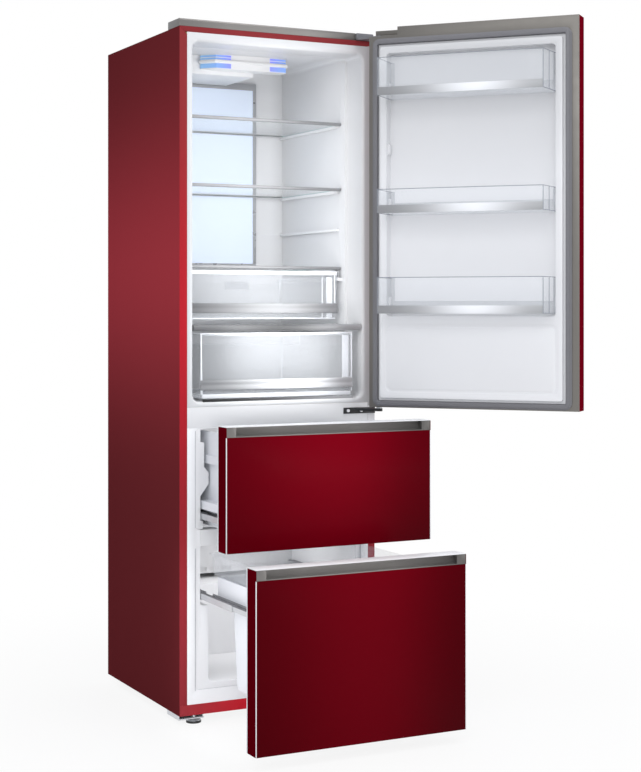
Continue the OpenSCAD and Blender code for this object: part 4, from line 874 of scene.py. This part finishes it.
# %% Glass and trims
glass_face = moulded("shelf_glass", (0.80, 0.88, 0.90), (0.84, 0.91, 0.92), 0.03, 0.05, 8,
                     0.00001, Alpha=0.14)
glass_edge = moulded("glass_edge", (0.50, 0.66, 0.66), (0.56, 0.72, 0.70), 0.05, 0.10, 200,
                     0.00002, Alpha=0.75)
trim_grey = shaded_band("trim_grey", 0.1, -0.26, 0.26, 0.34, 0.32, 0.30, 0.28, 0.24, 0.22, 0.28)
cover_silver = shaded_band("cover_silver", 0.2, -0.26, 0.26,
                           0.19, 0.18, 0.11, 0.06, 0.10, 0.30, 0.44)
print("shelf finishes:", glass_face.name, glass_edge.name, trim_grey.name, cover_silver.name)

# %% Shelves
COVER_TOP = 1.08  # only the trim of the crisper's cover lies below this
REAR_TRIMS = 0.3  # the trims behind this are white
shelves = moulded_copy("glass_shelves", glass_face, 0.0004, 1)
repaint(shelves, glass_edge, lambda normal, centre: abs(normal.z) < 0.7)
trims = moulded_copy("shelf_trims", trim_grey, 0.0005)
repaint(trims, cover_silver, lambda normal, centre: centre.z < COVER_TOP)
repaint(trims, panel_white, lambda normal, centre: centre.y > REAR_TRIMS)

# %% [markdown]
# ## Clear boxes
# The crisper and the box above it are clear polystyrene with a silver band. What the eye reads
# as a clear box is its thick edges, which look white or grey, and its floor. So the walls are
# almost transparent, and the bevels and rims of the same mesh get a denser finish.

# %% Clear plastics
clear = moulded("clear_plastic", (0.86, 0.89, 0.94), (0.89, 0.92, 0.96), 0.05, 0.09, 60,
                0.00001, Alpha=0.13)
bright_rim = moulded("bright_rim", (0.86, 0.88, 0.92), (0.89, 0.91, 0.94), 0.12, 0.20, 60,
                     0.00002, Alpha=0.92)
box_floor = moulded("box_floor", (0.80, 0.82, 0.86), (0.84, 0.86, 0.89), 0.20, 0.30, 200,
                    0.00002, Alpha=0.6)
print("clear plastics:", clear.name, bright_rim.name, box_floor.name)

# %% Helper for the edges of clear boxes
RIM_AREA = 0.012  # a rim's upper face is smaller than this, in square metres


def outline(piece, finish, turned=0.0):
    """Gives the bevels and rims of a clear box the look of thick plastic seen edge-on."""
    back = Matrix.Rotation(-turned, 3, "Z")
    piece.data.materials.append(finish)
    last = len(piece.data.materials) - 1
    for face in piece.data.polygons:
        normal = back @ face.normal
        slanted = max(abs(c) for c in normal) < 0.97
        if slanted or (abs(normal.z) > 0.9 and face.area < RIM_AREA):
            face.material_index = last


print("helper: outline, for rims under", RIM_AREA, "square metres")

# %% Boxes in the fridge
FLOOR_THICKNESS = 0.004  # level faces this low in a box are its floor
# Each band's gradient is a painted reflection; the upper box's band is painted darker overall, a
# painted shade.
crisper_silver = shaded_band("crisper_silver", 0.2, -0.24, 0.24,
                             0.27, 0.31, 0.38, 0.56, 0.84, 0.78, 0.58, 0.48)
fresh_silver = shaded_band("fresh_silver", 0.2, -0.24, 0.24,
                           0.16, 0.20, 0.26, 0.36, 0.42, 0.42, 0.34, 0.23)
for name in ("crisper_box", "fresh_box"):
    box = moulded_copy(name, clear, 0.0012)
    floor_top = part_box(name)[0][2] + FLOOR_THICKNESS
    repaint(box, box_floor, lambda normal, centre: abs(normal.z) > 0.9 and centre.z < floor_top)
    outline(box, bright_rim)
moulded_copy("crisper_band", crisper_silver, 0.0006)
moulded_copy("fresh_band", fresh_silver, 0.0006)

# %% [markdown]
# ## Beads, a painted highlight and a painted shadow
# The boxes' fronts end in thick beads that shine white. The bright upright line that their right
# corners catch is a painted highlight. Under the crisper is an open gap in shade, and a dark strip
# paints that shadow, nearly black on the left and paler on the right. Each is a slim box on the
# body it belongs to, so the beads slide out with their box.

# %% Beads round the boxes' fronts
box_part("crisper_bead", "crisper", bright_rim, [
    ((-231, 12.2, 1047), (231, 13.2, 1051)), ((-231.5, 12.2, 885), (-228, 13.2, 1047)),
    ((228, 12.2, 885), (231.5, 13.2, 1047)), ((-226, 11.6, 873.5), (226, 13.2, 885))], 0.0004)
box_part("fresh_bead", "fresh_drawer", bright_rim, [
    ((-230, 101.8, 1213), (230, 103.2, 1224)), ((221, 102.2, 1134), (224, 103.2, 1213)),
    ((-224, 102.2, 1088.5), (224, 103.2, 1091))], 0.0005)
# The corner strips are painted highlights: the bright upright lines that the boxes' right corners
# catch.
box_part("crisper_corner_highlight", "crisper", bright_rim,
         [((202, 17, 900), (223, 18, 1044))], 0.0003, 1)
box_part("fresh_corner_highlight", "fresh_drawer", bright_rim,
         [((198, 107, 1092), (217, 108, 1208)), ((183, 107, 1092), (186, 108, 1208))], 0.0003, 1)

# %% Painted shadow in the gap under the crisper
# The dark strip under the crisper is a painted shadow, nearly black on the left and paler on the
# right.
gap_shadow = shaded_band("gap_shadow", 0.0, -0.24, 0.24, 0.012, 0.03, 0.06, 0.11, 0.20, 0.34, 0.46)
box_part("crisper_gap_shadow", "cabinet", gap_shadow,
         [((-228, 4, 862.5), (229, 8, 871.5))], 0.0004, 1)

# %% [markdown]
# ## The door
# The painted skin wraps round the sides. Behind it sits the grey frame, then the white liner
# with its deep field for the bins, and the gasket in the frame's groove. The door stands open,
# so its inward faces are found by their direction in the room. The skin's inner fold is grey
# like the frame.

# %% Door finishes
door_red = paint("door_enamel", (0.150, 0.0010, 0.0070), 0.18, 0.26, 0.0)
# frame_shade paints shade on the door frame's grey: darkest at the hinge side, darker at the free
# end.
frame_shade = shade_along("X", 0.29, 0.68, 0.62, 0.84, 0.86, 0.82, 0.80, 0.70)
door_grey = brushed("door_frame_grey", (0.235, 0.220, 0.200), (0.250, 0.234, 0.212), 0.36, 0.46,
                    "Z", 0.4, frame_shade)
# door_white is painted lighter low on the door and darker towards the top: painted light and shade.
door_white = shaded_white("door_white", (0.800, 0.800, 0.815),
    shade_along("Z", 0.86, 1.85, 1.19, 1.19, 1.14, 0.84, 0.77))
gasket_grey = moulded("gasket_grey", (0.162, 0.160, 0.172), (0.172, 0.170, 0.182), 0.50, 0.62,
                      700, 0.00005)
print("door finishes:", door_red.name, door_grey.name, door_white.name, gasket_grey.name)

# %% Door
INWARD = Vector((-0.753, -0.658, 0))  # from the open door's skin to its liner
skin = moulded_copy("door_panel", door_red, 0.0010)
repaint(skin, door_grey, lambda normal, centre: normal.dot(INWARD) > 0.5)
moulded_copy("door_frame", door_grey, 0.0012)
moulded_copy("door_liner", door_white, 0.0022, 3)
moulded_copy("door_gasket", gasket_grey, 0.0010)

# %% [markdown]
# ## Door bins
# Three clear bins hang on the door, each with a curved silver band. Their rims and corners look
# darker than the rest, because thick plastic bends the view away from the white liner. Thin
# rods draw those lines. They are laid out on the shut door, where x, y and z are simple, and
# then turned with it about the hinge's axis.

# %% Bins and bands
DOOR_TURN = math.radians(131.15)
clear_edge = moulded("clear_edge", (0.50, 0.52, 0.56), (0.56, 0.58, 0.62), 0.08, 0.14, 60,
                     0.00002, Alpha=0.85)
bin_silver = shaded_band("bin_silver", 0.0, 0.208, 0.513,
                         0.27, 0.33, 0.46, 0.76, 1.0, 0.82, 0.48, 0.36)
bins = moulded_copy("door_bins", clear, 0.0010)
outline(bins, clear_edge, DOOR_TURN)
moulded_copy("door_bin_bands", bin_silver, 0.0005)

# %% Rims and corners of the bins
BIN_HEIGHTS = ((1698, 1802), (1377, 1443), (1104, 1203))
BIN_CORNERS = ((-223.7, 83), (238.9, 83), (-237, -32), (-229, 40))
LINE_RADIUS = 0.9
HINGE_AXIS = (283.1, -53.1, 0)


def bow(z):
    """The bins' front at a height, bowed five millimetres outwards."""
    middle, half = 7.6, 231.3
    steps = (-1, -0.75, -0.5, -0.25, 0, 0.25, 0.5, 0.75, 1)
    return [(middle + half * k, 83 + 5 * (1 - k * k), z) for k in steps]


runs = []
for low, high in BIN_HEIGHTS:
    low, high = low + 1, high - 1
    runs += [[(-237, -32, z)] + bow(z) + [(237, -32, z)] for z in (low, high)]
    runs += [[(x, y, low), (x, y, high)] for x, y in BIN_CORNERS]
rim_shade = moulded("rim_shade", (0.26, 0.28, 0.32), (0.32, 0.34, 0.38), 0.10, 0.16, 60,
                    0.00002, Alpha=0.8)
bm = bmesh.new()
for points in runs:
    add_pipe(bm, points, LINE_RADIUS, 8)
bmesh.ops.rotate(bm, verts=bm.verts, cent=at(*HINGE_AXIS),
                 matrix=Matrix.Rotation(DOOR_TURN, 3, "Z"))
finish_piece("bin_rims", bm, "door", rim_shade)

# %% [markdown]
# ## The drawers' fronts
# Each front is a painted pan with a metallic grip along its top and a white panel behind it.
# The red carries a painted highlight, brightest right of the middle and towards the top, and
# both fronts share that gradient, so that they look like one surface when they are shut.

# %% Finishes of the fronts
def front_tone(tree):
    """Deep red with a painted highlight, brightest right of the middle and towards the top."""
    across = graded(tree, "X", -0.30, 0.30, [
        (0.106, 0.0003, 0.0038), (0.138, 0.0004, 0.0050), (0.178, 0.0006, 0.0064),
        (0.202, 0.0007, 0.0074), (0.190, 0.0006, 0.0068), (0.126, 0.0004, 0.0046),
        (0.092, 0.0003, 0.0034)])
    down = graded(tree, "Z", 0.03, 0.82, grey(0.61, 0.65, 0.68, 0.77, 0.96, 1.06))
    return mix_colours(tree, across, down)


crimson = paint("crimson_enamel", front_tone, 0.16, 0.24, 0.02)
return_red = paint("return_enamel", (0.086, 0.0002, 0.0034), 0.22, 0.30, 0.0)
bright_white = sheet_white("bright_white", (0.94, 0.94, 0.95), (0.95, 0.95, 0.96))
gasket_light = moulded("gasket_light", (0.42, 0.42, 0.43), (0.47, 0.47, 0.48), 0.50, 0.62,
                       700, 0.00005)
print("front finishes:", crimson.name, return_red.name, bright_white.name, gasket_light.name)

# %% Fronts
# Each inner panel's upward faces get bright_white, a lighter white: painted light from above.
for level in ("upper", "lower"):
    front = moulded_copy(level + "_front", crimson, 0.0010)
    repaint(front, return_red, lambda normal, centre: abs(normal.x) > 0.7)
    moulded_copy(level + "_grip", warm_grey, 0.0007)
    backing = moulded_copy(level + "_inner_panel", panel_white, 0.0012)
    repaint(backing, bright_white, lambda normal, centre: normal.z > 0.7)
    moulded_copy(level + "_gasket", gasket_light, 0.0010)

# %% [markdown]
# ## Slides and boxes of the freezer
# The rails are rolled steel. Their level faces are near black, a painted shade of the channels
# where the next rail runs. The two boxes are milky, so that frost doesn't show, and the tray
# above the lower one is clear. A bevel would split the face round the basket's mouth badly, so
# the basket keeps its solid.

# %% Rails
rail_steel = brushed("rail_steel", (0.50, 0.51, 0.53), (0.60, 0.61, 0.63), 0.30, 0.40, "Y", 0.5)
rail_lip = moulded("rail_lip", (0.10, 0.10, 0.11), (0.14, 0.14, 0.15), 0.40, 0.50)
rails = [level + part for level in ("upper", "lower") for part in ("_inner_rails", "_middle_rails")]
# The rails' level faces get a near-black finish: painted shade in the channels where the next rail
# runs.
for name in rails + ["outer_rails"]:
    rail = moulded_copy(name, rail_steel, 0.0003, 1)
    repaint(rail, rail_lip, lambda normal, centre: abs(normal.z) > 0.7)

# %% Baskets and tray
frosted = moulded("frosted_plastic", (0.80, 0.82, 0.86), (0.82, 0.84, 0.88), 0.28, 0.38,
                  500, 0.00003, Alpha=0.92)
dress("upper_basket", frosted)
moulded_copy("lower_bin", frosted, 0.0030, 3)
moulded_copy("freezer_tray", clear, 0.0012)

# %% [markdown]
# ## Edge strips
# A narrow bright strip closes each front's upright edges, where the painted sheet meets its
# side. It is a pixel wide in the picture, but without it the front and its side run together.

# %% Light strips along the fronts' upright edges
bright_edge = brushed("bright_edge", (0.80, 0.77, 0.78), (0.84, 0.81, 0.82), 0.28, 0.34, "Z", 0.1)
for level, face, low, high in (("upper", -313.0, 501, 793), ("lower", -492.6, 34, 460)):
    strip = ((295.1, face - 0.3, low + 0.5), (297.5, face + 3, high - 0.3))
    box_part(level + "_edge_strips", level + "_drawer", bright_edge,
             mirrored([strip]), 0.0004)

# %% [markdown]
# ## The number of finishes
# The number of materials is printed at the end.

# %% Count the materials
print("materials:", len(bpy.data.materials))
